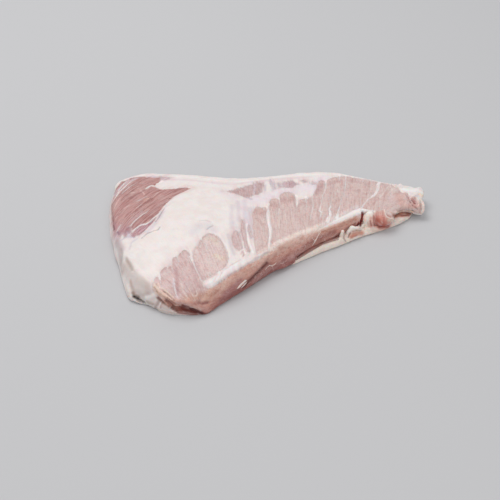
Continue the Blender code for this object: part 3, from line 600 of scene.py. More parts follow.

# Dabs over the lean, over the fat and over both, as (on what, colour, strength, reach, line)
# Many of them are painted shade and painted highlights, named where they lie.
DABS = [
    # the tan shoulder of lean above the cut
    ("lean", (250, 232, 222), 1.0, 4.4, [(256, 256), (266, 250), (276, 243.5), (290, 236.5),
        (303, 231), (318, 227), (335, 221.5), (350, 215.5)]),
    ("lean", (246, 230, 222), 0.8, 3.0, [(272, 247), (276, 243), (280, 240)]),
    # the veil between the fingers and the lilac patches
    ("fat", (242, 232, 238), 0.8, 9.0, [(250, 200), (262, 198), (276, 192), (290, 190), (305, 188),
        (316, 184), (322, 178)]),
    ("fat", (238, 226, 230), 0.7, 6.0, [(222, 192), (232, 196), (240, 204), (246, 214), (247, 224),
        (250, 236)]),
    ("fat", (234, 222, 226), 0.7, 3.5, [(232, 222), (236, 228), (238, 240)]),
    ("fat", (230, 220, 226), 0.8, 1.6, [(264.5, 215), (264.5, 222)]),
    # the far rim of the cap as a crisp painted highlight, with a mauve shade inside it
    ("fat", (236, 216, 222), 0.6, 2.6, [(145, 178), (158, 178.5), (172, 179), (190, 179.5),
        (210, 182), (232, 184), (256, 181), (280, 178.5), (310, 176.5)]),
    ("both", (255, 248, 246), 0.8, 1.0, [(144, 175.6), (158, 175.6), (172, 175.8), (186, 176.4),
        (200, 177.4), (216, 180), (236, 181.4), (256, 179.4), (276, 176.6), (300, 174.6),
        (326, 173.4), (344, 174.4), (362, 178.6), (380, 181.8), (391, 184.4)]),
    # mauve strands in the fat along the foot of the red corner, and along its left edge
    ("fat", (226, 216, 226), 0.8, 4.0, [(117, 232), (125, 231.5), (130, 236)]),
    ("fat", (218, 216, 230), 0.9, 1.8, [(124.5, 230), (127, 230.5), (128, 233)]),
    ("both", (160, 122, 140), 0.7, 1.2, [(117.2, 231.5), (118.6, 234)]),
    ("fat", (228, 196, 204), 0.8, 1.5, [(121.5, 229.5), (122.5, 234)]),
    ("both", (140, 72, 76), 0.9, 1.3, [(113, 225), (113.8, 229)]),
    ("lean", (214, 184, 192), 0.8, 2.4, [(113.5, 196), (117, 189.5), (122, 184.5), (128, 180.5),
        (136, 178)]),
    ("both", (240, 220, 218), 0.9, 0.9, [(110.4, 209), (110.6, 204), (112.8, 199.8), (115.6, 196),
        (118.4, 192.8)]),
    ("fat", (224, 206, 212), 0.8, 4.0, [(115, 236), (119, 243), (122, 249)]),
    ("fat", (228, 218, 222), 0.8, 2.8, [(146, 232), (150.5, 228), (155, 222.5), (159, 217),
        (162, 211.5)]),
    # two dark lines lying in wrinkles of the fat, as painted shade
    ("fat", (158, 138, 146), 0.8, 0.8, [(155, 221.5), (158.5, 217), (161, 212.5), (163.5, 208.5)]),
    ("fat", (190, 172, 172), 0.8, 0.8, [(141, 238), (147, 233), (153, 230.6), (157.5, 229.6),
        (159.5, 226.5)]),
    ("fat", (216, 208, 218), 0.7, 1.4, [(120, 240), (127, 236), (134, 237)]),
    ("fat", (222, 212, 220), 0.7, 1.4, [(129, 249), (131, 242), (136, 238.6)]),
    # the veil over the left ends of the slivers, and the halo of the middle lobe
    ("fat", (214, 202, 212), 0.4, 3.0, [(231.4, 205), (231.2, 216), (231.4, 227)]),
    ("fat", (214, 202, 212), 0.4, 3.0, [(237.4, 201), (237.8, 211), (238, 220)]),
    ("fat", (210, 200, 212), 0.4, 3.0, [(244, 200), (244.6, 212), (245, 224)]),
    ("fat", (212, 202, 212), 0.4, 3.0, [(249.6, 208), (249.8, 220), (250.4, 236)]),
    ("fat", (216, 206, 212), 0.6, 2.0, [(227.4, 234), (230, 246), (234, 254)]),
    ("fat", (220, 212, 216), 0.5, 6.0, [(192, 232), (198, 226), (206, 225), (214, 229)]),
    # painted shade in the wrinkles of the cap
    ("fat", (184, 174, 180), 0.7, 0.8, [(206.5, 229), (209, 227), (212.5, 225.2)]),
    ("fat", (206, 196, 200), 0.6, 0.8, [(199, 220.4), (204.5, 219.5), (210.5, 221.6)]),
    ("fat", (206, 192, 196), 0.6, 1.6, [(152.5, 220), (158, 214.5), (163, 208)]),
    ("both", (232, 212, 218), 0.8, 2.2, [(147, 176.6), (153, 176.2), (159, 176.6)]),
    # the left side under the brow and the flap, painted darker as shade, with their painted shadows
    ("both", (196, 182, 181), 0.8, 4.8, [(116, 242), (119.6, 250), (120.6, 262), (122, 270)]),
    ("both", (190, 174, 172), 0.5, 1.5, [(120.7, 249), (122, 254), (121, 260)]),
    ("both", (232, 222, 218), 0.7, 1.0, [(121.9, 258), (121.6, 266), (122.4, 272)]),
    ("both", (216, 203, 199), 0.9, 8.0, [(125, 266), (129, 274), (136, 281), (144, 288),
        (150, 291)]),
    ("both", (190, 170, 158), 0.6, 2.8, [(126, 259), (129, 264), (131.6, 269)]),
    ("both", (206, 190, 180), 0.4, 4.0, [(138, 277), (142, 281), (147, 285)]),
    ("both", (190, 170, 160), 0.6, 2.6, [(130, 281), (131.4, 287), (134, 291.6)]),
    ("both", (188, 168, 162), 0.5, 3.6, [(137, 292), (142, 295.5), (147, 293.5)]),
    ("both", (236, 230, 224), 0.8, 1.2, [(126.2, 285), (128.2, 291), (129.8, 296.6)]),
    # painted shade over the pocket and inside it, dark as its shadow
    ("both", (140, 112, 96), 0.8, 2.2, [(132.4, 292.5), (134, 294.6), (138, 296.2)]),
    ("both", (36, 18, 12), 1.0, 2.0, [(133.4, 295.9), (135.4, 296.8), (137.6, 297.8)]),
    ("both", (58, 40, 36), 0.9, 1.3, [(137.6, 298.2), (140.4, 299.5), (143.4, 301.5)]),
    ("both", (170, 156, 150), 0.8, 1.0, [(136.5, 300.2), (139.5, 301.6)]),
    ("both", (246, 240, 236), 0.9, 2.4, [(146, 297.6), (150, 297), (154, 294.6)]),
    ("both", (198, 182, 172), 0.8, 2.6, [(147, 301.5), (152, 303.5)]),
    # the brown folds, with painted shade in their grooves
    ("both", (168, 140, 128), 0.6, 2.2, [(155, 307.6), (156.6, 304.6), (158.4, 301.4)]),
    ("both", (214, 202, 194), 0.8, 1.8, [(156, 309), (165, 311.5), (176, 313)]),
    ("both", (204, 180, 170), 0.8, 1.3, [(161.2, 303.4), (159.8, 307.4)]),
    ("both", (216, 204, 196), 0.8, 2.2, [(163, 306.5), (168, 309.5), (172, 311.4)]),
    ("both", (186, 150, 136), 0.9, 2.0, [(163.5, 302.5), (168, 305.8)]),
    ("both", (146, 102, 88), 0.95, 1.8, [(157.5, 297.4), (160.2, 299.8), (162.4, 301.8)]),
    ("both", (214, 166, 148), 0.9, 1.1, [(161.9, 298.4), (164.5, 301), (167, 304)]),
    ("both", (126, 74, 60), 0.95, 2.0, [(165.7, 300), (168.8, 302.8), (172.6, 306.8)]),
    ("both", (104, 56, 44), 0.9, 1.6, [(174.4, 307.8), (176.8, 310.6)]),
    # the hollow at the foot of the corner: brown-red lean, darker under its ridge and in the
    # grooves beside it as painted shade
    ("both", (176, 124, 110), 1.0, 4.0, [(170, 303), (176, 306), (180, 309)]),
    ("both", (216, 166, 150), 0.9, 2.2, [(172.5, 301.8), (176, 303.4), (180.5, 304)]),
    ("both", (142, 76, 66), 1.0, 4.4, [(181, 308), (187, 310), (195, 312)]),
    ("both", (196, 138, 126), 0.9, 2.6, [(190, 301.5), (196, 304), (202, 308), (205, 312)]),
    ("both", (150, 92, 84), 0.9, 2.0, [(200, 313.4), (206, 312.6)]),
    ("both", (128, 58, 52), 0.9, 1.8, [(182.5, 304.4), (186, 305.8), (189.5, 307.4), (194, 309.4),
        (203, 312.8)]),
    ("both", (84, 24, 24), 0.85, 1.7, [(190, 308.6), (195, 310.8), (202, 312.8)]),
    ("both", (150, 96, 88), 0.9, 1.0, [(177, 312.2), (190, 313.8), (200, 314.6)]),
    ("both", (222, 178, 164), 0.9, 1.9, [(166, 296.5), (171, 298.8), (176, 300.2), (181, 300.6),
        (187, 302.8), (193, 306), (200, 309.4)]),
    ("lean", (140, 76, 72), 0.85, 2.4, [(198, 302), (202, 303), (206.5, 302)]),
    ("lean", (210, 158, 150), 0.7, 2.4, [(203, 308.5), (207, 311)]),
    ("lean", (212, 166, 146), 0.8, 5.5, [(186, 298), (196, 297), (206, 295), (211, 292)]),
    ("lean", (224, 194, 174), 0.8, 3.0, [(154.5, 286), (157.5, 292), (166, 297)]),
    ("lean", (176, 138, 118), 0.8, 0.9, [(153.6, 286.5), (157, 291.5)]),
    ("lean", (176, 136, 120), 0.7, 0.8, [(156, 283), (158.8, 286.5)]),
    ("lean", (250, 222, 204), 0.9, 0.8, [(153.4, 283.3), (156, 287), (158, 288.7)]),
    ("lean", (250, 222, 204), 0.9, 0.8, [(157.4, 283), (159.6, 287.6)]),
    ("lean", (250, 224, 208), 0.9, 0.8, [(161.4, 287.4), (167.6, 292), (173, 297)]),
    ("lean", (250, 222, 204), 0.9, 0.8, [(160, 289.8), (166, 294.9), (171.6, 299.4)]),
    ("lean", (164, 116, 96), 0.8, 0.9, [(163, 291), (168, 294), (174, 300.3)]),
    ("lean", (160, 108, 90), 0.8, 0.9, [(167, 297), (171, 300.5), (175, 303.5)]),
    # streaks of the left lobes
    ("lean", (190, 144, 146), 0.65, 2.2, [(175.5, 268), (176, 276), (176.6, 284), (177, 294)]),
    ("lean", (206, 168, 168), 0.5, 1.4, [(173.5, 260), (174, 270), (174.5, 276)]),
    ("lean", (242, 228, 234), 0.8, 0.9, [(172.7, 278), (174, 286), (175.5, 293), (177, 296.5)]),
    ("lean", (240, 218, 212), 0.7, 0.8, [(180.6, 283), (183, 290), (187, 297)]),
    ("lean", (212, 198, 204), 0.5, 1.6, [(185, 281), (187, 287)]),
    ("lean", (240, 216, 206), 0.8, 0.75, [(188.5, 288), (190.7, 292), (193, 295.5), (196, 295.6),
        (197.2, 292.8), (195.6, 290.5)]),
    ("lean", (188, 148, 138), 0.7, 0.8, [(194.4, 292.8), (195, 293.6)]),
    ("lean", (206, 170, 170), 0.5, 2.2, [(192, 264), (195, 273), (194.5, 281)]),
    ("lean", (212, 176, 176), 0.5, 2.6, [(195.5, 262), (198.5, 270), (202, 276)]),
    ("lean", (202, 164, 162), 0.5, 1.2, [(201.6, 278.5), (203, 285)]),
    ("lean", (196, 152, 148), 0.5, 1.6, [(184.5, 261), (185.5, 265)]),
    ("lean", (238, 220, 200), 0.7, 3.4, [(215, 255), (222, 258)]),
    ("lean", (228, 212, 196), 0.6, 3.2, [(206, 238), (213, 238), (216, 243)]),
    ("lean", (230, 196, 194), 0.35, 3.2, [(197, 262), (203, 268), (212, 270)]),
    ("lean", (206, 172, 164), 0.4, 1.6, [(198.4, 243.6), (200.8, 239.4), (204.6, 235.2),
        (209, 233.2), (214, 234.6), (219.4, 239.6), (224, 246)]),
    ("lean", (190, 156, 150), 0.4, 1.4, [(172.4, 260), (173.6, 257.6), (176, 256.4)]),
    ("lean", (190, 156, 150), 0.4, 1.4, [(178, 254.6), (180, 252.8), (182.4, 251), (184, 250),
        (186, 250.8), (188.4, 253.4)]),
    ("lean", (190, 158, 152), 0.4, 1.4, [(160.2, 272), (162, 268.8), (164, 267.4), (168, 267.4),
        (169.8, 265.5), (171, 267)]),
    ("lean", (224, 186, 178), 0.5, 2.6, [(218, 263), (222, 266)]),
    ("lean", (236, 208, 204), 0.5, 1.4, [(184, 254), (187, 262), (189, 270)]),
    # the fingers, redder round their tips, with light and dark strands
    ("lean", (204, 164, 158), 0.65, 6.5, [(258, 211), (262, 212)]),
    ("lean", (220, 190, 182), 0.3, 3.5, [(256, 217), (258, 222)]),
    ("lean", (232, 210, 202), 0.5, 3.0, [(257, 243), (264, 241)]),
    ("lean", (202, 162, 158), 0.6, 5.0, [(272, 205), (275, 204)]),
    ("lean", (236, 214, 208), 0.5, 3.0, [(274, 213), (274, 226)]),
    ("lean", (200, 160, 156), 0.65, 6.0, [(284, 200), (290, 198.5)]),
    ("lean", (204, 166, 160), 0.6, 4.2, [(301, 203.5), (303, 203)]),
    ("lean", (204, 166, 160), 0.6, 3.6, [(308.5, 200), (309, 203)]),
    ("lean", (200, 160, 160), 0.7, 4.2, [(316.5, 193), (318.6, 187.5), (321, 184)]),
    ("lean", (204, 166, 164), 0.6, 4.0, [(328, 184), (333, 182), (339, 180.5)]),
    ("lean", (204, 164, 162), 0.5, 4.0, [(349, 179), (358, 181.5), (367, 183.5)]),
    ("lean", (206, 168, 164), 0.6, 3.4, [(355, 190), (360, 192)]),
    ("lean", (206, 168, 164), 0.7, 2.2, [(366.5, 193.4), (372, 192.4)]),
    ("lean", (204, 166, 158), 0.6, 1.6, [(383, 196), (388, 190)]),
    ("lean", (204, 166, 158), 0.6, 1.4, [(372, 204), (378, 198)]),
    ("lean", (240, 220, 214), 0.6, 1.0, [(388.4, 184.6), (384, 191), (379, 197.6)]),
    ("lean", (238, 216, 208), 0.6, 1.0, [(371.5, 186), (369.6, 191), (368, 194)]),
    ("lean", (234, 212, 208), 0.6, 1.2, [(353, 186), (351, 194), (348.5, 203)]),
    ("lean", (234, 212, 208), 0.5, 1.2, [(362.5, 187), (359, 196), (354.5, 205)]),
    ("lean", (236, 214, 208), 0.5, 1.0, [(278.6, 209), (278.4, 222), (278.4, 236)]),
    ("lean", (236, 214, 208), 0.5, 1.0, [(284.8, 213), (285.2, 226), (285, 234)]),
    ("lean", (236, 214, 208), 0.5, 1.0, [(291.6, 211), (292.2, 222), (291.6, 231)]),
    ("lean", (236, 216, 212), 0.5, 1.0, [(299, 212), (299.4, 220), (298.4, 228)]),
    ("lean", (236, 216, 212), 0.5, 1.2, [(316, 205), (315, 214), (313.5, 222)]),
    ("lean", (248, 230, 222), 0.9, 0.9, [(337.2, 189.6), (337.6, 191.4)]),
    ("lean", (240, 224, 222), 0.6, 3.6, [(322, 223), (334, 217.5), (346, 211.5), (357, 206.5)]),
    # the rim and its lump, with painted shade in the crease beside it and between the lumps
    ("fat", (250, 246, 246), 0.9, 3.2, [(206, 284.5), (214, 280), (221, 275.5), (227, 270.5),
        (233, 266), (238, 263)]),
    ("both", (206, 166, 164), 0.8, 1.1, [(244, 252), (242.7, 256)]),
    ("both", (206, 190, 188), 0.5, 1.0, [(230, 265), (236, 261.5), (239.5, 259.5)]),
    ("fat", (226, 206, 204), 0.6, 1.2, [(213.4, 281), (215, 277.6)]),
    ("fat", (230, 208, 204), 0.6, 1.2, [(219.6, 276.6), (221, 272.6)]),
    ("fat", (228, 200, 194), 0.7, 1.4, [(206, 279), (211, 276.4), (216, 273.4)]),
    ("both", (230, 196, 192), 0.7, 1.0, [(240.6, 253.6), (243, 250.6), (246.4, 251)]),
    ("both", (246, 234, 228), 0.9, 0.9, [(253.5, 257.3), (256.5, 255.3), (260.5, 254.7),
        (262.5, 251.8), (266.5, 251.3), (270, 250.3)]),
    # the cut face: its red deepens low down, partly painted shade, with painted shade in its crease
    ("lean", (226, 172, 154), 0.7, 3.4, [(228, 277), (238, 271), (248, 266)]),
    ("lean", (184, 128, 132), 0.6, 3.4, [(224, 294), (233, 286.5), (240, 280)]),
    ("lean", (154, 98, 98), 0.7, 2.4, [(220, 300), (230, 294), (240, 288)]),
    ("lean", (218, 170, 154), 0.7, 4.0, [(212, 290), (218, 286), (222, 282)]),
    ("lean", (156, 100, 96), 0.6, 4.2, [(268, 263.5), (260, 271), (252, 279)]),
    ("lean", (108, 56, 52), 0.9, 1.7, [(266.5, 262.5), (262.5, 266.5), (258.5, 270.5),
        (255.5, 273.5), (252.5, 277), (248.5, 280.5), (245.5, 284), (242.5, 287)]),
    ("lean", (178, 130, 126), 0.7, 3.0, [(254, 281), (262, 274), (272, 268), (284, 261.5),
        (298, 254)]),
    ("lean", (222, 182, 164), 0.5, 1.3, [(284, 252), (287, 246)]),
    ("lean", (214, 170, 156), 0.6, 2.4, [(278, 247.5), (290, 241), (302, 235.6)]),
    ("lean", (160, 102, 94), 0.7, 3.4, [(304, 246), (320, 237), (334, 231)]),
    ("lean", (200, 152, 146), 0.7, 2.4, [(288, 257), (302, 251)]),
    ("both", (255, 254, 252), 1.0, 2.8, [(334, 221.5), (341, 218.6), (348, 215.6), (355, 212.6),
        (361, 210.4)]),
    ("lean", (206, 146, 126), 0.7, 3.0, [(322, 231.5), (334, 226.5), (346, 221.5), (355, 218)]),
    ("lean", (132, 66, 62), 0.7, 1.6, [(345, 229), (350, 225.5), (355, 223)]),
    ("lean", (140, 80, 74), 0.6, 1.6, [(334, 237), (338, 233)]),
    # the cleft, the nub beside it and the step of the tip
    # the slit of the cleft: dark red, partly the lean's own colour and partly painted shade
    ("both", (214, 70, 58), 1.0, 2.4, [(362, 213.6), (361.2, 218), (360.2, 221)]),
    ("both", (150, 14, 18), 1.0, 2.2, [(359.6, 221.5), (358.4, 226.5)]),
    ("both", (128, 22, 24), 1.0, 1.7, [(358, 222), (357.2, 225)]),
    ("both", (255, 248, 242), 0.9, 1.6, [(364.5, 209.6), (368, 209.8), (374, 211)]),
    ("both", (224, 150, 136), 1.0, 6.8, [(379, 217.5), (386, 220.4)]),
    ("both", (206, 116, 100), 0.9, 3.6, [(377, 219.5), (384, 224.5)]),
    ("both", (204, 116, 104), 0.9, 2.0, [(375.2, 223), (378.5, 225)]),
    ("both", (224, 168, 154), 0.8, 2.8, [(376.5, 212.4), (382.6, 211.6)]),
    ("both", (216, 160, 142), 0.7, 2.4, [(387, 219.5), (389.5, 222)]),
    ("both", (240, 206, 196), 0.8, 0.7, [(374.6, 223.6), (376.4, 226.4)]),
    ("both", (240, 208, 196), 0.7, 0.7, [(380.8, 220.6), (382, 222.4)]),
    ("both", (248, 226, 212), 0.9, 0.9, [(383.8, 208.5), (384.6, 213.5), (386.4, 216.4),
        (389.5, 217.9), (393.5, 218.8)]),
    ("both", (236, 214, 198), 0.8, 2.2, [(388.5, 219.6), (393, 220.4)]),
    # painted shade in the groove inside the cream line and in the recess under the lip
    ("both", (196, 140, 126), 0.9, 1.1, [(386, 214.6), (388, 215.6), (389.8, 216.4)]),
    ("both", (216, 172, 156), 0.8, 1.4, [(390.6, 212), (393, 213.6)]),
    ("both", (206, 142, 126), 0.9, 1.8, [(392.5, 215), (397, 214), (400, 213.4)]),
    ("both", (246, 218, 194), 1.0, 1.3, [(396.5, 211.4), (400, 210.4), (405, 210.2), (409.5, 210.6),
        (412.5, 211.6)]),
    ("both", (214, 156, 144), 0.6, 3.0, [(408, 205), (414, 205.5), (419, 204)]),
    ("both", (204, 138, 132), 0.8, 1.6, [(412, 198.6), (414.4, 200.6), (413.6, 203)]),
    ("both", (255, 250, 248), 1.0, 3.4, [(403.5, 189.3), (410, 190.4), (417, 189.6)]),
    ("both", (255, 248, 246), 0.9, 1.8, [(409, 193.5), (410.5, 196)]),
    ("both", (222, 186, 182), 0.9, 1.6, [(404.2, 192.6), (405.4, 196), (406.6, 199.6)]),
    ("both", (250, 228, 206), 0.8, 2.0, [(418.4, 193.2), (421.4, 194.6)]),
    # the darker of these strokes lie in the grooves of the tip's swirl, as painted shade
    ("both", (180, 120, 114), 0.8, 0.9, [(406.9, 193.4), (407.8, 197), (408.6, 199)]),
    ("both", (140, 78, 72), 0.9, 0.8, [(408.8, 200.6), (410.4, 202.6)]),
    ("both", (132, 72, 66), 0.9, 0.8, [(411, 199.8), (412.8, 201.4), (414.6, 203.4)]),
    ("both", (176, 118, 110), 0.7, 0.8, [(411.2, 204.2), (413.4, 206.2), (417, 208.6)]),
    ("both", (246, 212, 200), 0.8, 0.8, [(411.6, 196.9), (415, 197.4), (417.8, 199.8),
        (418.6, 203.4), (416.8, 206.6)]),
    ("both", (250, 230, 216), 0.9, 1.2, [(421.2, 198.6), (422.8, 203), (423.6, 206.5),
        (423.4, 209.5), (420.5, 213.4)]),
    ("both", (194, 154, 140), 0.7, 0.9, [(419.8, 200), (421, 204), (420.6, 209)]),
    ("lean", (226, 182, 172), 0.7, 5.0, [(399, 196), (403, 205)]),
    ("lean", (236, 206, 198), 0.6, 1.0, [(404, 203.5), (400.5, 206), (396.5, 208)]),
    ("fat", (240, 230, 224), 0.6, 3.0, [(384, 184), (400, 187)]),
    ("both", (255, 240, 228), 0.9, 0.9, [(393, 184.8), (396, 187)]),
    # light and dark strands of the red corner
    ("lean", (232, 192, 184), 0.8, 0.8, [(131.5, 210.5), (135.5, 207.5), (140, 204.5), (144, 201),
        (146.5, 200)]),
    ("lean", (230, 190, 182), 0.8, 0.8, [(138.5, 209.5), (145, 204.6), (150, 201)]),
    ("lean", (230, 190, 182), 0.8, 0.8, [(151.5, 196.8), (157.5, 192)]),
    ("lean", (230, 190, 182), 0.7, 0.8, [(154.5, 197.8), (160.5, 193.4)]),
    ("lean", (246, 214, 204), 0.9, 0.9, [(128.5, 192.9), (131, 192), (133.5, 191.8)]),
    ("lean", (232, 196, 192), 0.8, 0.8, [(140, 190), (142.6, 192), (144.2, 194.6)]),
    ("lean", (240, 202, 182), 0.9, 1.0, [(143.4, 200), (145.4, 198.6), (148, 198)]),
    ("lean", (228, 184, 180), 0.8, 0.9, [(113.6, 208), (116, 203), (119, 198)]),
    ("lean", (228, 194, 188), 0.7, 0.8, [(119, 212), (124, 207.5), (128, 205)]),
    ("lean", (224, 178, 176), 0.6, 1.4, [(122, 209), (126, 206)]),
    ("lean", (226, 184, 180), 0.6, 0.8, [(115, 219), (117, 213), (120, 208)]),
    ("lean", (226, 184, 180), 0.6, 0.8, [(122, 217), (127, 212), (133, 208)]),
    ("lean", (228, 188, 184), 0.6, 0.8, [(160, 200), (166, 196), (172, 192.6)]),
    ("lean", (156, 104, 96), 0.7, 0.9, [(143.5, 195.5), (149, 191.5)]),
    ("lean", (150, 98, 90), 0.7, 0.9, [(139, 206.4), (148, 200.6), (152, 198)]),
    ("lean", (156, 106, 98), 0.7, 1.0, [(141, 211), (150, 204), (157, 199)]),
    ("lean", (160, 106, 102), 0.7, 1.2, [(121, 200), (126, 195), (133, 189.6)]),
    ("lean", (166, 110, 108), 0.6, 1.4, [(130, 198), (138, 192.6)]),
    ("lean", (164, 110, 106), 0.6, 1.2, [(118, 215), (123, 208.5)]),
    ("lean", (156, 100, 98), 0.7, 1.2, [(112.3, 212), (113, 224)]),
    ("lean", (150, 104, 92), 0.7, 0.9, [(166, 198.4), (170, 197.6)]),
    ("lean", (212, 166, 162), 0.5, 2.4, [(118, 220), (125, 214), (132, 208)]),
    ("lean", (208, 170, 172), 0.6, 3.0, [(128, 222), (134, 217), (141, 212)]),
    ("lean", (206, 170, 168), 0.6, 2.4, [(150, 214), (156, 208), (161, 203)]),
    ("lean", (180, 126, 138), 0.7, 2.2, [(136, 231), (143, 228.5), (148, 224.4)]),
    ("lean", (140, 92, 106), 0.8, 1.0, [(139.6, 233.8), (142.4, 231.6)]),
    ("both", (150, 120, 132), 0.8, 1.0, [(148.6, 222.4), (151.4, 221)]),
    ("lean", (226, 190, 196), 0.8, 0.8, [(134.6, 232), (139, 228.4), (142, 226.6)]),
    ("lean", (226, 190, 196), 0.8, 0.8, [(139, 232), (144, 228), (147, 225)]),
    ("lean", (132, 100, 104), 0.7, 0.7, [(149.5, 219.1), (153.3, 216)]),
    ("fat", (150, 128, 132), 0.7, 0.8, [(160.3, 212.6), (162.6, 209.4)]),
    # the lilac patches
    ("lean", (226, 214, 222), 0.7, 1.4, [(254.3, 183), (254, 190), (253.5, 195)]),
    ("fat", (196, 186, 196), 0.6, 2.4, [(245, 196.5), (250.5, 198.5)]),
    ("fat", (206, 200, 212), 0.6, 1.5, [(264.5, 184.5), (264.7, 190)]),
    ("both", (202, 190, 198), 0.5, 1.2, [(277, 183), (280, 186.5)]),
]


def dab(colours, points, tree, colour, strength, reach, line, *side):
    """Lays a soft stroke of colour over the colours of the points."""
    share = (strength * hump(points, tree, line, reach, *side))[:, None]
    for under in colours:
        under += share * (np.array(tone(*colour)) - under)


on_what = {"lean": [lean_colour], "fat": [fat_colour], "both": [lean_colour, fat_colour]}
for on, *stroke in DABS:
    dab(on_what[on], points, tree, *stroke)


class Nodes:
    """A tree of nodes, put down one by one."""

    def __init__(self, tree):
        self.tree = tree

    def add(self, kind, links=(), **settings):
        node = self.tree.nodes.new(kind)
        for key, value in settings.items():
            setattr(node, key, value)
        for socket, value in dict(links).items():
            self.feed(node.inputs[socket], value)
        return node

    def feed(self, socket, value):
        if isinstance(value, bpy.types.NodeSocket):
            self.tree.links.new(value, socket)
        else:
            socket.default_value = value


class Recipe(Nodes):
    """A material and what its surface is mixed from."""

    def __init__(self, name, finish):
        self.material = bpy.data.materials.new(name)
        self.material.use_nodes = True
        super().__init__(self.material.node_tree)
        self.surface = self.tree.nodes["Principled BSDF"].inputs
        for socket, value in finish.items():
            self.surface[socket].default_value = value

    def stored(self, name, out="Fac"):
        return self.add("ShaderNodeAttribute", attribute_name=name).outputs[out]

    def maths(self, operation, a, b=0.0, c=0.0):
        return self.add("ShaderNodeMath", {0: a, 1: b, 2: c}, operation=operation).outputs[0]

    def times(self, a, b):
        return self.maths("MULTIPLY", a, b)

    def ramp(self, value, low, high, to_low=0.0, to_high=1.0):
        """A soft step of value from low to high."""
        links = {0: value, 1: low, 2: high, 3: to_low, 4: to_high}
        return self.add("ShaderNodeMapRange", links, interpolation_type="SMOOTHSTEP").outputs[0]

    def stretched(self, coordinates, scale):
        """The coordinates times a scale for each axis."""
        links = {0: coordinates, 1: scale}
        return self.add("ShaderNodeVectorMath", links, operation="MULTIPLY").outputs[0]

    def noise(self, coordinates, scale=1.0, detail=2.0, roughness=0.5):
        links = {"Vector": coordinates, "Scale": scale, "Detail": detail, "Roughness": roughness}
        return self.add("ShaderNodeTexNoise", links).outputs["Fac"]

    def mix(self, share, a, b, blend="MIX"):
        node = self.add("ShaderNodeMix", data_type="RGBA", blend_type=blend)
        for socket, value in ((0, share), (6, a), (7, b)):
            self.feed(node.inputs[socket], value)
        return node.outputs[2]

    def tinted(self, colour, red, green, blue):
        return self.mix(1.0, colour, (red, green, blue, 1.0), "MULTIPLY")

    def blend(self, share, a, b):
        return self.add("ShaderNodeMix", {0: share, 2: a, 3: b}, data_type="FLOAT").outputs[0]


# One material for lean and fat, which reads what each point keeps. Its patterns on the place are
# scaled by the metre, and those on the strands by the millimetre.
raw = Recipe("lean and fat", {
    "Subsurface Weight": 0.30, "Subsurface Radius": (1.0, 0.40, 0.28), "Subsurface Scale": 0.0009,
    "Specular IOR Level": 0.4, "Coat Weight": 0.08, "Coat Roughness": 0.2})
place = raw.add("ShaderNodeTexCoord").outputs["Object"]
strands = raw.stored("fibre", "Vector")
cut_share, soft_edge = raw.stored("cut"), raw.stored("softness")


def strand_noise(top_scale, face_scale, detail, roughness):
    """Noise drawn out along the strands on the top, and along the face on the cut."""
    top = raw.noise(raw.stretched(strands, top_scale), detail=detail, roughness=roughness)
    face = raw.noise(raw.stretched(place, face_scale), detail=detail, roughness=roughness)
    return raw.blend(cut_share, top, face)


bundles = strand_noise((0.30, 0.020, 1.0), (70.0, 140.0, 230.0), 2.0, 0.5)
streak = strand_noise((0.95, 0.055, 1.0), (210.0, 420.0, 620.0), 3.0, 0.6)
fine = strand_noise((2.6, 0.15, 1.0), (700.0, 1100.0, 1500.0), 2.0, 0.6)
lump = raw.noise(place, scale=120.0)
blotch = raw.noise(place, scale=300.0)
mottle = raw.noise(place, scale=850.0, detail=3.0, roughness=0.65)

# Where the lean starts: its edge frays along the strands
fray = raw.times(raw.maths("SUBTRACT", streak, 0.5), 3.4)
fray = raw.maths("MULTIPLY_ADD", raw.maths("SUBTRACT", fine, 0.5), 1.8, fray)
fray = raw.maths("MULTIPLY_ADD", raw.maths("SUBTRACT", mottle, 0.5), 1.0, fray)
fray = raw.times(fray, raw.maths("MULTIPLY_ADD", soft_edge, 0.9, 0.1))
deep = raw.maths("ADD", raw.stored("lean"), fray)
lean_share = raw.ramp(deep, raw.times(soft_edge, -1.0), soft_edge)

# The lean: strands lighter and darker than its colour, speckles where they don't show, pale
# threads, white flecks and a darker edge. Each row: where it shows, and its dark and pale steps.
lean_base = raw.stored("lean_colour", "Color")
lean_dark = raw.tinted(lean_base, 0.70, 0.53, 0.53)
lean_pale = raw.tinted(lean_base, 0.55, 0.85, 0.85)
lean_pale = raw.mix(1.0, lean_base, raw.mix(0.45, (0, 0, 0, 1), lean_pale), "SCREEN")
plain = raw.stored("strands")
very_plain = raw.maths("POWER", plain, 2.5)
speckled = raw.maths("SUBTRACT", 1.15, plain)
lean_now = lean_base
for pattern, shown, to_dark, to_pale in (
        (bundles, very_plain, (0.50, 0.39, 0.0, 0.85), (0.51, 0.62, 0.0, 0.85)),
        (streak, plain, (0.48, 0.36, 0.0, 0.85), (0.53, 0.64, 0.0, 0.95)),
        (fine, plain, (0.46, 0.34, 0.0, 0.50), (0.55, 0.66, 0.0, 0.80)),
        (blotch, speckled, (0.47, 0.34, 0.0, 0.40), (0.54, 0.68, 0.0, 0.40)),
        (mottle, speckled, (0.47, 0.36, 0.0, 0.45), (0.53, 0.64, 0.0, 0.60))):
    for steps, other in ((to_dark, lean_dark), (to_pale, lean_pale)):
        lean_now = raw.mix(raw.times(raw.ramp(pattern, *steps), shown), lean_now, other)
in_light = raw.add("ShaderNodeSeparateColor", {"Color": lean_base}).outputs["Green"]
in_light = raw.maths("MAXIMUM", raw.ramp(in_light, 0.08, 0.28, 0.12, 1.0), cut_share)
thread = raw.maths("ABSOLUTE", raw.maths("SUBTRACT", streak, 0.5))
thread = raw.times(raw.ramp(thread, 0.022, 0.004),
                   raw.ramp(raw.noise(place, scale=60.0), 0.48, 0.62, 0.0, 0.5))
lean_now = raw.mix(raw.times(thread, in_light), lean_now, (*tone(244, 228, 222), 1.0))
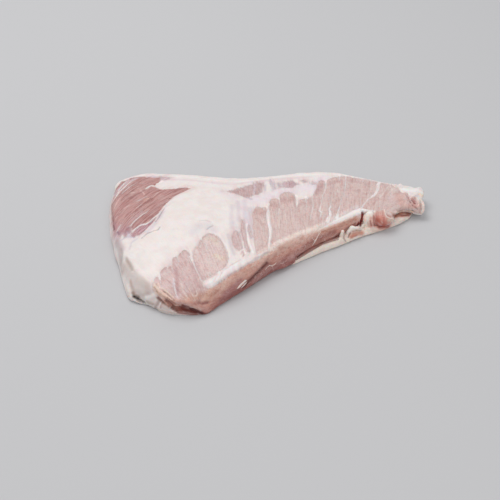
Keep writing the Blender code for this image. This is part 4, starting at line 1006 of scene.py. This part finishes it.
flecks = raw.add("ShaderNodeTexVoronoi", {"Vector": raw.stretched(place, (260.0, 420.0, 420.0))})
flecks = raw.times(raw.ramp(flecks.outputs["Distance"], 0.20, 0.08),
                   raw.ramp(mottle, 0.50, 0.62, 0.0, 0.75))
lean_now = raw.mix(raw.times(flecks, in_light), lean_now, (*tone(242, 226, 218), 1.0))
lean_now = raw.mix(raw.times(raw.stored("rim"), 0.12), lean_now,
                   raw.tinted(lean_now, 0.84, 0.68, 0.68))

# The fat: creamy, with lean that glows through it near the lean and faint streaks
fat_base = raw.stored("fat_colour", "Color")
on_seam = raw.stored("seam")
thin_fat = raw.times(raw.ramp(deep, -7.0, -0.5), raw.ramp(bundles, 0.62, 0.36, 0.1, 0.75))
thin_fat = raw.times(thin_fat, raw.maths("SUBTRACT", 1.0, on_seam))
fat_now = raw.mix(raw.ramp(lump, 0.35, 0.68, 0.0, 0.6), fat_base,
                  raw.tinted(fat_base, 0.955, 0.90, 0.88))
fat_now = raw.mix(thin_fat, fat_now, raw.tinted(fat_now, 0.90, 0.80, 0.82))
fat_now = raw.mix(raw.ramp(fine, 0.50, 0.34, 0.0, 0.35), fat_now,
                  raw.tinted(fat_now, 0.92, 0.88, 0.90))
fat_now = raw.mix(raw.times(on_seam, 0.85), fat_now, (*tone(255, 242, 240), 1.0))
raw.feed(raw.surface["Base Color"], raw.mix(lean_share, fat_now, lean_now))
raw.feed(raw.surface["Roughness"],
         raw.maths("MULTIPLY_ADD", mottle, 0.30, raw.blend(lean_share, 0.32, 0.24)))

# Its moist grain, 0.7 mm from the lowest to the highest
rise = raw.maths("MULTIPLY_ADD", raw.times(streak, lean_share), 0.7, raw.times(mottle, 0.14))
rise = raw.maths("MULTIPLY_ADD", raw.times(fine, lean_share), 0.3, rise)
rise = raw.maths("MULTIPLY_ADD", fine, 0.06, rise)
raised = raw.add("ShaderNodeBump", {"Height": rise, "Strength": 1.0, "Distance": 0.7 * MM})
raw.feed(raw.surface["Normal"], raised.outputs[0])


def finish_meat(piece, **kept):
    """Keeps values for each point of the mesh, for the material to read, and puts it on."""
    size = len(piece.data.vertices)
    for name, values in kept.items():
        kind, key = {"lean_colour": ("FLOAT_COLOR", "color"),
                     "fat_colour": ("FLOAT_COLOR", "color"),
                     "fibre": ("FLOAT_VECTOR", "vector")}.get(name, ("FLOAT", "value"))
        if kind == "FLOAT_COLOR":
            values = np.hstack([values, np.ones((size, 1))])
        data = piece.data.attributes.new(name, kind, "POINT").data
        values = np.full(size, values) if np.isscalar(values) else values
        data.foreach_set(key, np.asarray(values, np.float32).ravel())
    piece.data.materials.append(raw.material)
    piece.data.shade_smooth()


# the third number of the fibre keeps the corner's pattern apart from the fan's
finish_meat(
    muscle, fibre=np.column_stack([fibre, 5.0 * in_corner]), lean=lean, softness=softness, cut=cut,
    strands=strands_show, rim=1 - step_up(whole_lean, 0.3, 2.4),
    seam=1 - step_up(seam, -0.3, 0.9), lean_colour=lean_colour, fat_colour=fat_colour)
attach(muscle, "root")
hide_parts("muscle")

# ---- The white threads --------------------------------------------------------------------------
# Thin cords of tendon and shreds of fat that lie on the lean, on its seams and on the cut face.
# Each follows its own line over the skin and is sunk into it by a share of its thickness.

THREAD_STEP, THREAD_BREAK = 0.12, 3.5  # how near and how far apart two knots of a thread may lie

# (half width, how far it stands up, as a share of that, colour, line)
THREADS = [
    # the red corner
    (0.42, 0.5, (246, 236, 232), [(157, 183.6, 0.7), (154.5, 186, 0.8), (151.5, 185.2, 0.8),
        (149, 185.8, 0.7), (147, 187.2, 0.5), (145, 188.8, 0.2)]),
    (0.24, 0.3, (240, 218, 216), [(130, 225.5, 0.3), (133, 221.5), (135.5, 219), (139, 216.5),
        (142, 214), (145, 212.5), (149, 208.8, 0.1)]),
    (0.24, 0.3, (242, 224, 226), [(132, 231.5, 0.3), (135, 228.5), (139, 225.5), (142, 224.3),
        (146, 223.5), (150, 221), (153, 218), (155.5, 216), (158, 213.5), (160.5, 210.5),
        (163.5, 206.5), (168, 201.5, 0.1)]),
    (0.22, 0.3, (232, 204, 200), [(131.5, 210.5, 0.1), (135.5, 207.5), (140, 204.5), (144, 201),
        (147, 199.6, 0.1)]),
    (0.22, 0.3, (232, 204, 200), [(150.5, 198, 0.1), (154, 195.3), (158, 192, 0.1)]),
    (0.22, 0.3, (234, 208, 204), [(129.5, 193.8, 0.1), (131.5, 192.8), (134, 192, 0.1)]),
    (0.2, 0.3, (230, 200, 196), [(141.5, 191.8, 0.1), (143, 192.7), (145, 193.8, 0.1)]),
    (0.18, 0.2, (228, 196, 192), [(119, 212, 0.1), (124, 207.5), (129, 204, 0.1)]),
    (0.18, 0.2, (228, 198, 196), [(126, 222, 0.1), (131, 217), (137, 212.5, 0.1)]),
    (0.18, 0.2, (226, 194, 190), [(160, 200, 0.1), (166, 196.5), (172, 193, 0.1)]),
    (0.18, 0.2, (226, 194, 190), [(122, 199, 0.1), (128, 194), (135, 188.5, 0.1)]),
    (0.28, 0.3, (244, 232, 234), [(135, 178.8, 0.1), (130, 181.2), (125.5, 185), (121, 189.2),
        (118, 192.5), (115.5, 196), (111.8, 202.5, 0.1)]),
    (0.22, 0.3, (240, 224, 228), [(128.5, 178.8, 0.1), (123.5, 183), (119.5, 188),
        (117, 192, 0.1)]),
    (0.2, 0.3, (236, 216, 218), [(137, 182, 0.1), (131, 185.3), (126, 189), (121, 193.4, 0.1)]),
    # the left lobes
    (0.14, 0.3, (246, 224, 220), [(189.8, 256.2, 0.2), (192.5, 262.8), (196.8, 271.7),
        (199.5, 277.8), (202, 281, 0.1)]),
    (0.24, 0.3, (242, 222, 218), [(203.6, 240.3, 0.3), (205, 244), (207.3, 248.4, 0.1)]),
    (0.15, 0.3, (242, 226, 230), [(172.8, 281, 0.1), (173.9, 287.4), (176.2, 295, 0.1)]),
    (0.2, 0.3, (240, 214, 206), [(180.6, 284, 0.1), (183.4, 291.2), (187, 297, 0.1)]),
    (0.2, 0.3, (240, 216, 206), [(185, 282.8, 0.1), (188.4, 289.5), (190.6, 292.8), (193.4, 295.6),
        (196.2, 294.5), (195.8, 292, 0.1)]),
    (0.22, 0.35, (240, 214, 200), [(160, 289.5, 0.1), (166.2, 294.8), (172, 300, 0.1)]),
    (0.22, 0.35, (240, 214, 200), [(161.5, 287.4, 0.1), (167.4, 292.6), (174, 299, 0.1)]),
    (0.2, 0.3, (240, 214, 200), [(152.8, 283.4, 0.1), (155.6, 287.2), (157, 289, 0.1)]),
    (0.2, 0.3, (240, 214, 200), [(155.4, 285.2, 0.1), (160, 290.6, 0.1)]),
    # the seams between the fingers
    (0.2, 0.3, (248, 234, 232), [(268, 203.5, 0.2), (266.7, 212.5), (266.9, 220), (268, 225),
        (269, 232.5), (268.4, 242, 0.1)]),
    (0.18, 0.3, (246, 228, 226), [(311.8, 197, 0.2), (312.5, 205), (311.8, 211),
        (310.2, 218.5, 0.1)]),
    (0.2, 0.3, (246, 228, 226), [(326, 180, 0.2), (325.2, 187.5), (323.7, 191.5), (322.2, 195.5),
        (321.2, 201.5), (320, 206.5), (318.8, 210, 0.5), (321, 212.2), (320, 215),
        (319.5, 218, 0.1)]),
    (0.15, 0.3, (244, 226, 224), [(345.4, 175, 0.2), (345, 181), (344.5, 187.5), (343.5, 195),
        (341, 198.5), (340, 203.5), (337.2, 212.5), (336.5, 215.5, 0.3)]),
    (0.22, 0.35, (252, 236, 234), [(330.6, 200, 0.1), (330, 206.5), (328.2, 209),
        (329.6, 211.7, 0.5), (329.8, 214), (327.6, 217.7, 0.5), (327, 220), (325.4, 223.5, 0.1)]),
    (0.24, 0.35, (250, 236, 234), [(377.4, 184, 0.6), (377, 189, 0.5), (375.5, 192.5),
        (372.5, 195.5), (368, 198.5), (364.5, 202.5), (361.5, 206.5), (360, 210, 0.3)]),
    (0.16, 0.2, (240, 222, 218), [(278.8, 203, 0.1), (278.4, 212), (279, 225, 0.1)]),
    (0.16, 0.2, (240, 222, 218), [(285.3, 219, 0.1), (285.8, 230, 0.1)]),
    (0.16, 0.2, (240, 222, 218), [(292.3, 220, 0.1), (292.8, 230, 0.1)]),
    (0.22, 0.3, (244, 228, 224), [(303, 225.5, 0.2), (303.2, 228, 0.1)]),
    (0.22, 0.3, (244, 228, 224), [(337.3, 189, 0.2), (337.2, 191.5, 0.1)]),
    (0.22, 0.3, (244, 228, 224), [(335.5, 193, 0.1), (335.3, 196, 0.1)]),
    (0.12, 0.3, (240, 226, 226), [(246.7, 226, 0.1), (245.9, 230.2), (246.5, 235), (248.5, 243.5),
        (250.5, 249.5, 0.1)]),
    (0.12, 0.3, (240, 226, 226), [(239.6, 236, 0.1), (240.8, 241), (242, 246), (243, 250, 0.1)]),
    # the shreds and flecks of the cut face
    (0.85, 0.8, (248, 236, 230), [(236.5, 288.5, 0.2), (238.5, 286.3), (240.2, 284.3, 1),
        (242.5, 282.5), (244.5, 280.3), (246.5, 279.6, 0.15)]),
    (0.7, 0.8, (246, 232, 226), [(240.6, 287.6, 0.2), (243.5, 284.4), (246.6, 281.3, 0.1)]),
    (0.25, 0.6, (230, 204, 198), [(247, 284.5, 0.1), (250.5, 281.3, 0.1)]),
    (0.34, 0.6, (240, 218, 210), [(264.5, 269.5, 0.1), (267, 266.5), (269, 265), (271.5, 265.5),
        (274, 264), (276, 262, 0.1)]),
    (0.32, 0.6, (238, 214, 206), [(272, 264.8, 0.2), (272.5, 269.2, 0.1)]),
    (0.24, 0.6, (236, 208, 198), [(286.5, 247, 0.1), (284.5, 250.3, 0.1)]),
    (0.24, 0.6, (236, 208, 198), [(292, 255.5, 0.1), (289.5, 258.2, 0.1)]),
    (0.36, 0.6, (244, 224, 214), [(311.5, 245.5, 0.1), (314, 241.5), (315.5, 239, 0.45),
        (318, 234.5), (320.5, 230.8, 0.1)]),
    (0.34, 0.6, (244, 224, 214), [(311.3, 237.2, 0.1), (314.3, 240.3, 0.2)]),
    (0.26, 0.6, (240, 216, 206), [(324.5, 237.5, 0.1), (324.5, 240.5), (322.8, 243, 0.1)]),
    (0.24, 0.6, (236, 208, 198), [(336, 233, 0.1), (333, 235.5), (329, 236.7, 0.1)]),
    (0.22, 0.6, (234, 204, 194), [(297, 243.5, 0.1), (300, 241, 0.1)]),
    (0.22, 0.6, (230, 198, 190), [(279, 258, 0.1), (283, 255, 0.1)]),
    (0.2, 0.6, (228, 196, 190), [(232, 281, 0.1), (235.5, 278.5, 0.1)]),
    (0.22, 0.5, (250, 236, 226), [(384, 208.5, 0.1), (385, 213.5), (386.8, 216.6), (389.5, 218),
        (394.5, 218.6, 0.1)]),
]
paths = bmesh.new()
half_layer = paths.verts.layers.float.new("half")
tint_layer = paths.verts.layers.float_color.new("tint")
for half, stands, colour, line in THREADS:
    before = None
    for x, y, z, w in laid(tree, line, half, step=0.6):
        spot = Vector((x, y, z))
        if before is not None and (spot - before_at).length < THREAD_STEP:
            continue
        out_way = tree.find_nearest(spot)[1]
        knot = paths.verts.new((spot - out_way * float((1 - stands) * w)) * MM)
        knot[half_layer], knot[tint_layer] = float(w) * MM, (*tone(*colour), 1.0)
        if before is not None and (spot - before_at).length < THREAD_BREAK:
            paths.edges.new((before, knot))
        before, before_at = knot, spot
lines = bpy.data.meshes.new("thread_lines")
paths.to_mesh(lines)
paths.free()
threads = new_object("white_threads", lines)

cord = Recipe("white thread", {
    "Roughness": 0.42, "Subsurface Weight": 0.3, "Subsurface Scale": 0.0009,
    "Subsurface Radius": (1.0, 0.5, 0.4), "Coat Weight": 0.15, "Coat Roughness": 0.22})
speck = cord.noise(cord.add("ShaderNodeTexCoord").outputs["Object"], scale=900.0, detail=3.0)
tint = cord.stored("tint", "Color")
cord.feed(cord.surface["Base Color"], cord.mix(
    cord.ramp(speck, 0.62, 0.40, 0.0, 0.5), tint, cord.tinted(tint, 0.90, 0.80, 0.79)))

group = bpy.data.node_groups.new("cords along lines", "GeometryNodeTree")
ways = {}
for name, kind in (("Lines", "Geometry"), ("Sides", "Int"), ("Wander", "Float"),
                   ("Seed", "Float"), ("Finish", "Material")):
    ways[name] = group.interface.new_socket(
        name=name, in_out="INPUT", socket_type="NodeSocket" + kind)
group.interface.new_socket(name="Cords", in_out="OUTPUT", socket_type="NodeSocketGeometry")
cords = Nodes(group)
given = cords.add("NodeGroupInput").outputs
curve = cords.add("GeometryNodeMeshToCurve", {"Mesh": given["Lines"]}).outputs[0]
# each swells and thins along its way
thick = cords.add("GeometryNodeInputNamedAttribute", {"Name": "half"}, data_type="FLOAT").outputs[0]
uneven = cords.add("ShaderNodeTexNoise", {"W": given["Seed"], "Scale": 700.0, "Detail": 2.0},
                   noise_dimensions="4D").outputs["Fac"]
swell = cords.add("ShaderNodeMath", {0: uneven, 1: 1.3, 2: 0.35},
                  operation="MULTIPLY_ADD").outputs[0]
thick = cords.add("ShaderNodeMath", {0: thick, 1: swell}, operation="MULTIPLY").outputs[0]
curve = cords.add("GeometryNodeSetCurveRadius", {"Curve": curve, "Radius": thick}).outputs[0]
# and wanders a little to either side
drift = cords.add("ShaderNodeTexNoise", {"W": given["Seed"], "Scale": 260.0, "Detail": 1.0},
                  noise_dimensions="4D").outputs["Color"]
drift = cords.add("ShaderNodeVectorMath", {0: drift, 1: (0.5, 0.5, 0.5)},
                  operation="SUBTRACT").outputs[0]
drift = cords.add("ShaderNodeVectorMath", {0: drift, 3: given["Wander"]},
                  operation="SCALE").outputs[0]
curve = cords.add("GeometryNodeSetPosition", {"Geometry": curve, "Offset": drift}).outputs[0]
ring = cords.add("GeometryNodeCurvePrimitiveCircle", {"Resolution": given["Sides"], "Radius": 1.0})
swept = cords.add("GeometryNodeCurveToMesh", {
    "Curve": curve, "Profile Curve": ring.outputs[0], "Fill Caps": True})
if "Scale" in swept.inputs:
    cords.feed(swept.inputs["Scale"], cords.add("GeometryNodeInputRadius").outputs[0])
real = cords.add("GeometryNodeRealizeInstances", {"Geometry": swept.outputs[0]}).outputs[0]
done = cords.add("GeometryNodeSetMaterial", {"Geometry": real, "Material": given["Finish"]})
cords.feed(cords.add("NodeGroupOutput").inputs[0], done.outputs[0])
sweep = threads.modifiers.new("cords along lines", "NODES")
sweep.node_group = group
for name, value in (("Sides", 8), ("Wander", 0.5 * MM), ("Seed", 4.0), ("Finish", cord.material)):
    sweep[ways[name].identifier] = value
applied(threads, sweep).shade_smooth()
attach(threads, "root")

# ---- The sheet of fat under the thin half -------------------------------------------------------
# Firm white fat that was left on the underside. It shows as a strip along the foot of the cut, and
# beside the cleft as a wall, a small spike and a curl round a heart of lean.

FAT_NET = 0.55
FAT_ROUNDS, FAT_EASE = 6, 0.8
FAT_SWELL = 0.25  # closes the line between it and the muscle, which have grown together
STRIP_THIN, STRIP_BACK = 0.55, 0.8  # the share of its height its left end loses, and its step
UNDER_FAT_TONE = tone(250, 236, 226)

# What stands up from it or sinks into it, as (height, reach, line)
FAT_FOLDS = [
    (-2.4, 3.0, [(353, 224.6), (356, 223.6), (360, 223.6)]),
    (0.7, 1.8, [(345, 231.5), (347.5, 228.8), (350.5, 227), (354, 226.8), (358, 228)]),
    (-0.8, 1.2, [(347.5, 237), (348.3, 234.4), (350.3, 232), (353.5, 230), (357.5, 229.6),
        (361, 230)]),
    (0.8, 2.4, [(351.5, 235), (358, 233)]),
    (0.7, 1.3, [(338.5, 240), (340, 235), (342, 231)]),
    (-0.7, 1.0, [(343.5, 232), (343.2, 238), (345, 241)]),
    (1.0, 2.0, [(364.5, 213.4), (368, 212.2), (372, 211.5)]),
    (0.8, 2.0, [(369.5, 213.4), (372.5, 212.6)]),
    (0.9, 2.2, [(371.6, 216.5), (371.6, 222), (371, 227)]),
    (0.5, 1.6, [(364.6, 218), (363.6, 222.5)]),
    (-0.4, 1.2, [(366.8, 221), (368.4, 225.6)]),
    (0.5, 1.6, [(365, 227), (368.4, 229)]),
    (-1.4, 2.5, [(391, 215.4), (397, 213.8), (402, 213), (408, 212.4)]),
    (0.4, 1.6, [(372, 230), (382, 229), (394, 222), (404, 218)]),
    (-0.4, 1.2, [(369, 229), (376, 231)]),
    (0.5, 1.4, [(304, 255), (308, 253)]),
    (0.6, 1.5, [(318, 248.5), (322, 246)]),
    (0.5, 1.4, [(329, 244), (333, 243)]),
]
# Dabs of colour, painted shade and painted highlight on it, as (colour, strength, reach, line)
FAT_DABS = [
    # the slit of the cleft on the wall: dark red, partly the lean's own colour and partly painted
    # shade
    ((206, 66, 56), 1.0, 1.5, [(362.4, 214.5), (362, 218), (361.4, 221)]),
    ((112, 12, 12), 1.0, 1.7, [(360.6, 223), (359.4, 225.4)]),
    ((216, 158, 140), 1.0, 3.0, [(350.6, 236), (353.5, 233.8), (357.5, 232.8), (361.5, 232.4)]),
    ((204, 136, 118), 0.8, 1.4, [(351, 236.4), (356, 234.8)]),
    # painted shade in the curl's inner gap and in the gap beside the spike
    ((146, 92, 84), 0.8, 0.9, [(347.9, 237), (348.4, 234.6), (350, 232.4)]),
    ((176, 122, 108), 0.6, 0.8, [(352, 230.8), (356, 230), (360.5, 230.2)]),
    ((182, 158, 150), 0.8, 1.0, [(343.6, 232.6), (343.4, 238), (345, 241)]),
    ((255, 250, 244), 1.0, 1.9, [(346.4, 231.5), (347.5, 229), (351, 227.2), (355.5, 227.2)]),
    ((255, 246, 238), 0.8, 1.3, [(339.5, 238), (341.6, 232)]),
    # the wall: cream, with warm painted shade in its dents
    ((246, 218, 206), 0.8, 1.4, [(364.8, 215), (364.6, 220)]),
    ((226, 188, 176), 0.7, 1.3, [(367, 222), (368.6, 225.6)]),
    ((230, 196, 184), 0.7, 1.2, [(363.4, 226), (364, 229)]),
    ((226, 168, 156), 0.85, 2.2, [(370.6, 218), (370.6, 226)]),
    ((196, 118, 108), 0.95, 1.7, [(373.2, 215.6), (373.2, 220), (373.4, 224.6)]),
    ((176, 98, 90), 0.85, 0.9, [(369.8, 220.4), (370.2, 223), (371, 225.2)]),
    ((248, 224, 212), 0.8, 0.7, [(371.4, 218.4), (371.6, 221)]),
    ((255, 246, 238), 0.8, 1.0, [(366.6, 218.4), (365.4, 223.4)]),
    ((255, 248, 240), 1.0, 1.8, [(363, 212.8), (368, 212.2), (372.5, 212.4)]),
    ((220, 146, 130), 1.0, 4.2, [(375, 225), (380, 226), (388, 222.6)]),
    ((202, 112, 94), 0.9, 2.0, [(377, 224), (384, 226)]),
    ((166, 98, 90), 0.95, 2.3, [(379, 227), (383, 227.8), (388, 226.2)]),
    # the recess under the tip's lip: red-brown, partly painted shade, darkest along its foot
    ((196, 130, 112), 0.9, 2.3, [(390, 216.8), (396, 215.6), (402, 215.2), (408, 214.6)]),
    ((206, 140, 120), 0.9, 3.8, [(86, -67), (92, -65.4), (97, -65), (102, -66)], "top"),
    ((136, 60, 48), 0.8, 1.1, [(399.5, 215.4), (404, 215), (410, 214.2)]),
    # the inner side of the strip in the colours of the face above it, with a painted shadow line
    # where the two meet
    ((204, 150, 143), 1.0, 3.6, [(295, 256), (303, 251.4), (309, 247.8), (316, 243.8), (322, 240.6),
        (330, 237.6), (338, 235.4)]),
    ((192, 140, 133), 0.95, 1.7, [(297, 257), (303, 253.2), (309, 249.6), (316, 245.6),
        (322, 242.2), (330, 239.2), (338, 236.8)]),
    ((128, 80, 74), 0.85, 0.75, [(296, 259.2), (303, 255), (309, 251.4), (316, 247.2), (322, 243.6),
        (330, 241), (338, 238.8)]),
    # a painted orange highlight in the recess
    ((218, 156, 130), 0.8, 1.2, [(396.6, 216), (399.6, 215.6)]),
    ((236, 204, 190), 0.7, 2.2, [(372, 230.5), (386, 229)]),
    ((240, 230, 220), 0.7, 2.2, [(392, 222), (404, 219)]),
    ((255, 244, 234), 0.8, 1.5, [(312, 252.4), (318, 249), (324, 246.6), (334, 243.6)]),
]
under_fat = fine_skin("under_fat", "under_fat_skin", FAT_NET)
points, edges = read_points(under_fat), read_edges(under_fat)
points = eased(points, edges, np.full(len(points), FAT_EASE), FAT_ROUNDS)
# its strip thins out to the left, where it runs in under the meat
strip_end = 1 - step_up(points[:, 0], -8.0, 14.0)
strip_end *= step_up(-points[:, 1], 55.0, 62.0)
points[:, 2] *= 1 - STRIP_THIN * strip_end
points[:, 1] += STRIP_BACK * strip_end
write_points(under_fat, points)
tree = net_tree(under_fat)
normals = read_normals(under_fat)
relief = np.full(len(points), FAT_SWELL)
for height, reach, line, *side in FAT_FOLDS:
    relief += height * hump(points, tree, line, reach, *side)
relief += 0.40 * grain(points, 4.5, 5, 2) + 0.20 * grain(points, 1.3, 6)
points += (relief * step_up(points[:, 2], 0.2, 1.5))[:, None] * normals
points[:, 2] = np.maximum(points[:, 2], 0.0)
write_points(under_fat, points)
tree = net_tree(under_fat)
fat_colour = np.tile(np.array(UNDER_FAT_TONE), (len(points), 1))
for stroke in FAT_DABS:
    dab([fat_colour], points, tree, *stroke)
# it is fat all through, so the material finds no lean, seam or rim on it
finish_meat(under_fat, lean=NOT_LEAN, softness=0.5, cut=1.0, strands=0.5, rim=0.0, seam=0.0,
            fibre=points, lean_colour=fat_colour, fat_colour=fat_colour)
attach(under_fat, "root")
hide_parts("under_fat")

# ---- The stage ----------------------------------------------------------------------------------
# A plain pale floor, one large soft light over the far side and a weaker one from the front, and
# the camera at the photograph's place.

FLOOR_HALF = 3.0  # in metres, as all sizes of the stage are
paper = Recipe("pale floor", {
    "Base Color": (*tone(205, 205, 207), 1.0), "Roughness": 0.9, "Specular IOR Level": 0.1})
paved = bpy.data.meshes.new("floor")
paved.from_pydata(
    [(x * FLOOR_HALF, y * FLOOR_HALF, 0) for x, y in ((-1, -1), (1, -1), (1, 1), (-1, 1))], [],
    [(0, 1, 2, 3)])
paved.materials.append(paper.material)
floor = new_object("floor", paved)

# Each light: name, place, size and power
for name, spot, size, power in (("over_the_far_side", (-0.1, 0.55, 1.25), 1.0, 8.0),
                                ("from_the_front", (-0.2, -0.9, 0.9), 0.9, 2.4)):
    lamp = bpy.data.lights.new(name, "AREA")
    lamp.shape, lamp.size, lamp.energy = "DISK", size, power
    holder = new_object(name, lamp)
    holder.location = spot
    holder.rotation_euler = (-Vector(spot)).to_track_quat("-Z", "Y").to_euler()

world = bpy.data.worlds.new("room")
world.use_nodes = True
background = world.node_tree.nodes["Background"].inputs
background["Color"].default_value, background["Strength"].default_value = (1, 1, 1, 1), 0.5
bpy.context.scene.world = world
bpy.context.scene.view_settings.view_transform = "Standard"

lens = bpy.data.cameras.new("camera")
lens.sensor_width, lens.lens, lens.clip_start = LENS_WIDTH, LENS_LENGTH, 0.05
camera = new_object("camera", lens)
camera.matrix_world = Matrix(
    [(x, y, z, eye * MM) for x, y, z, eye in zip(ACROSS, UP, BACK, EYE)] + [(0, 0, 0, 1)])
bpy.context.scene.camera = camera
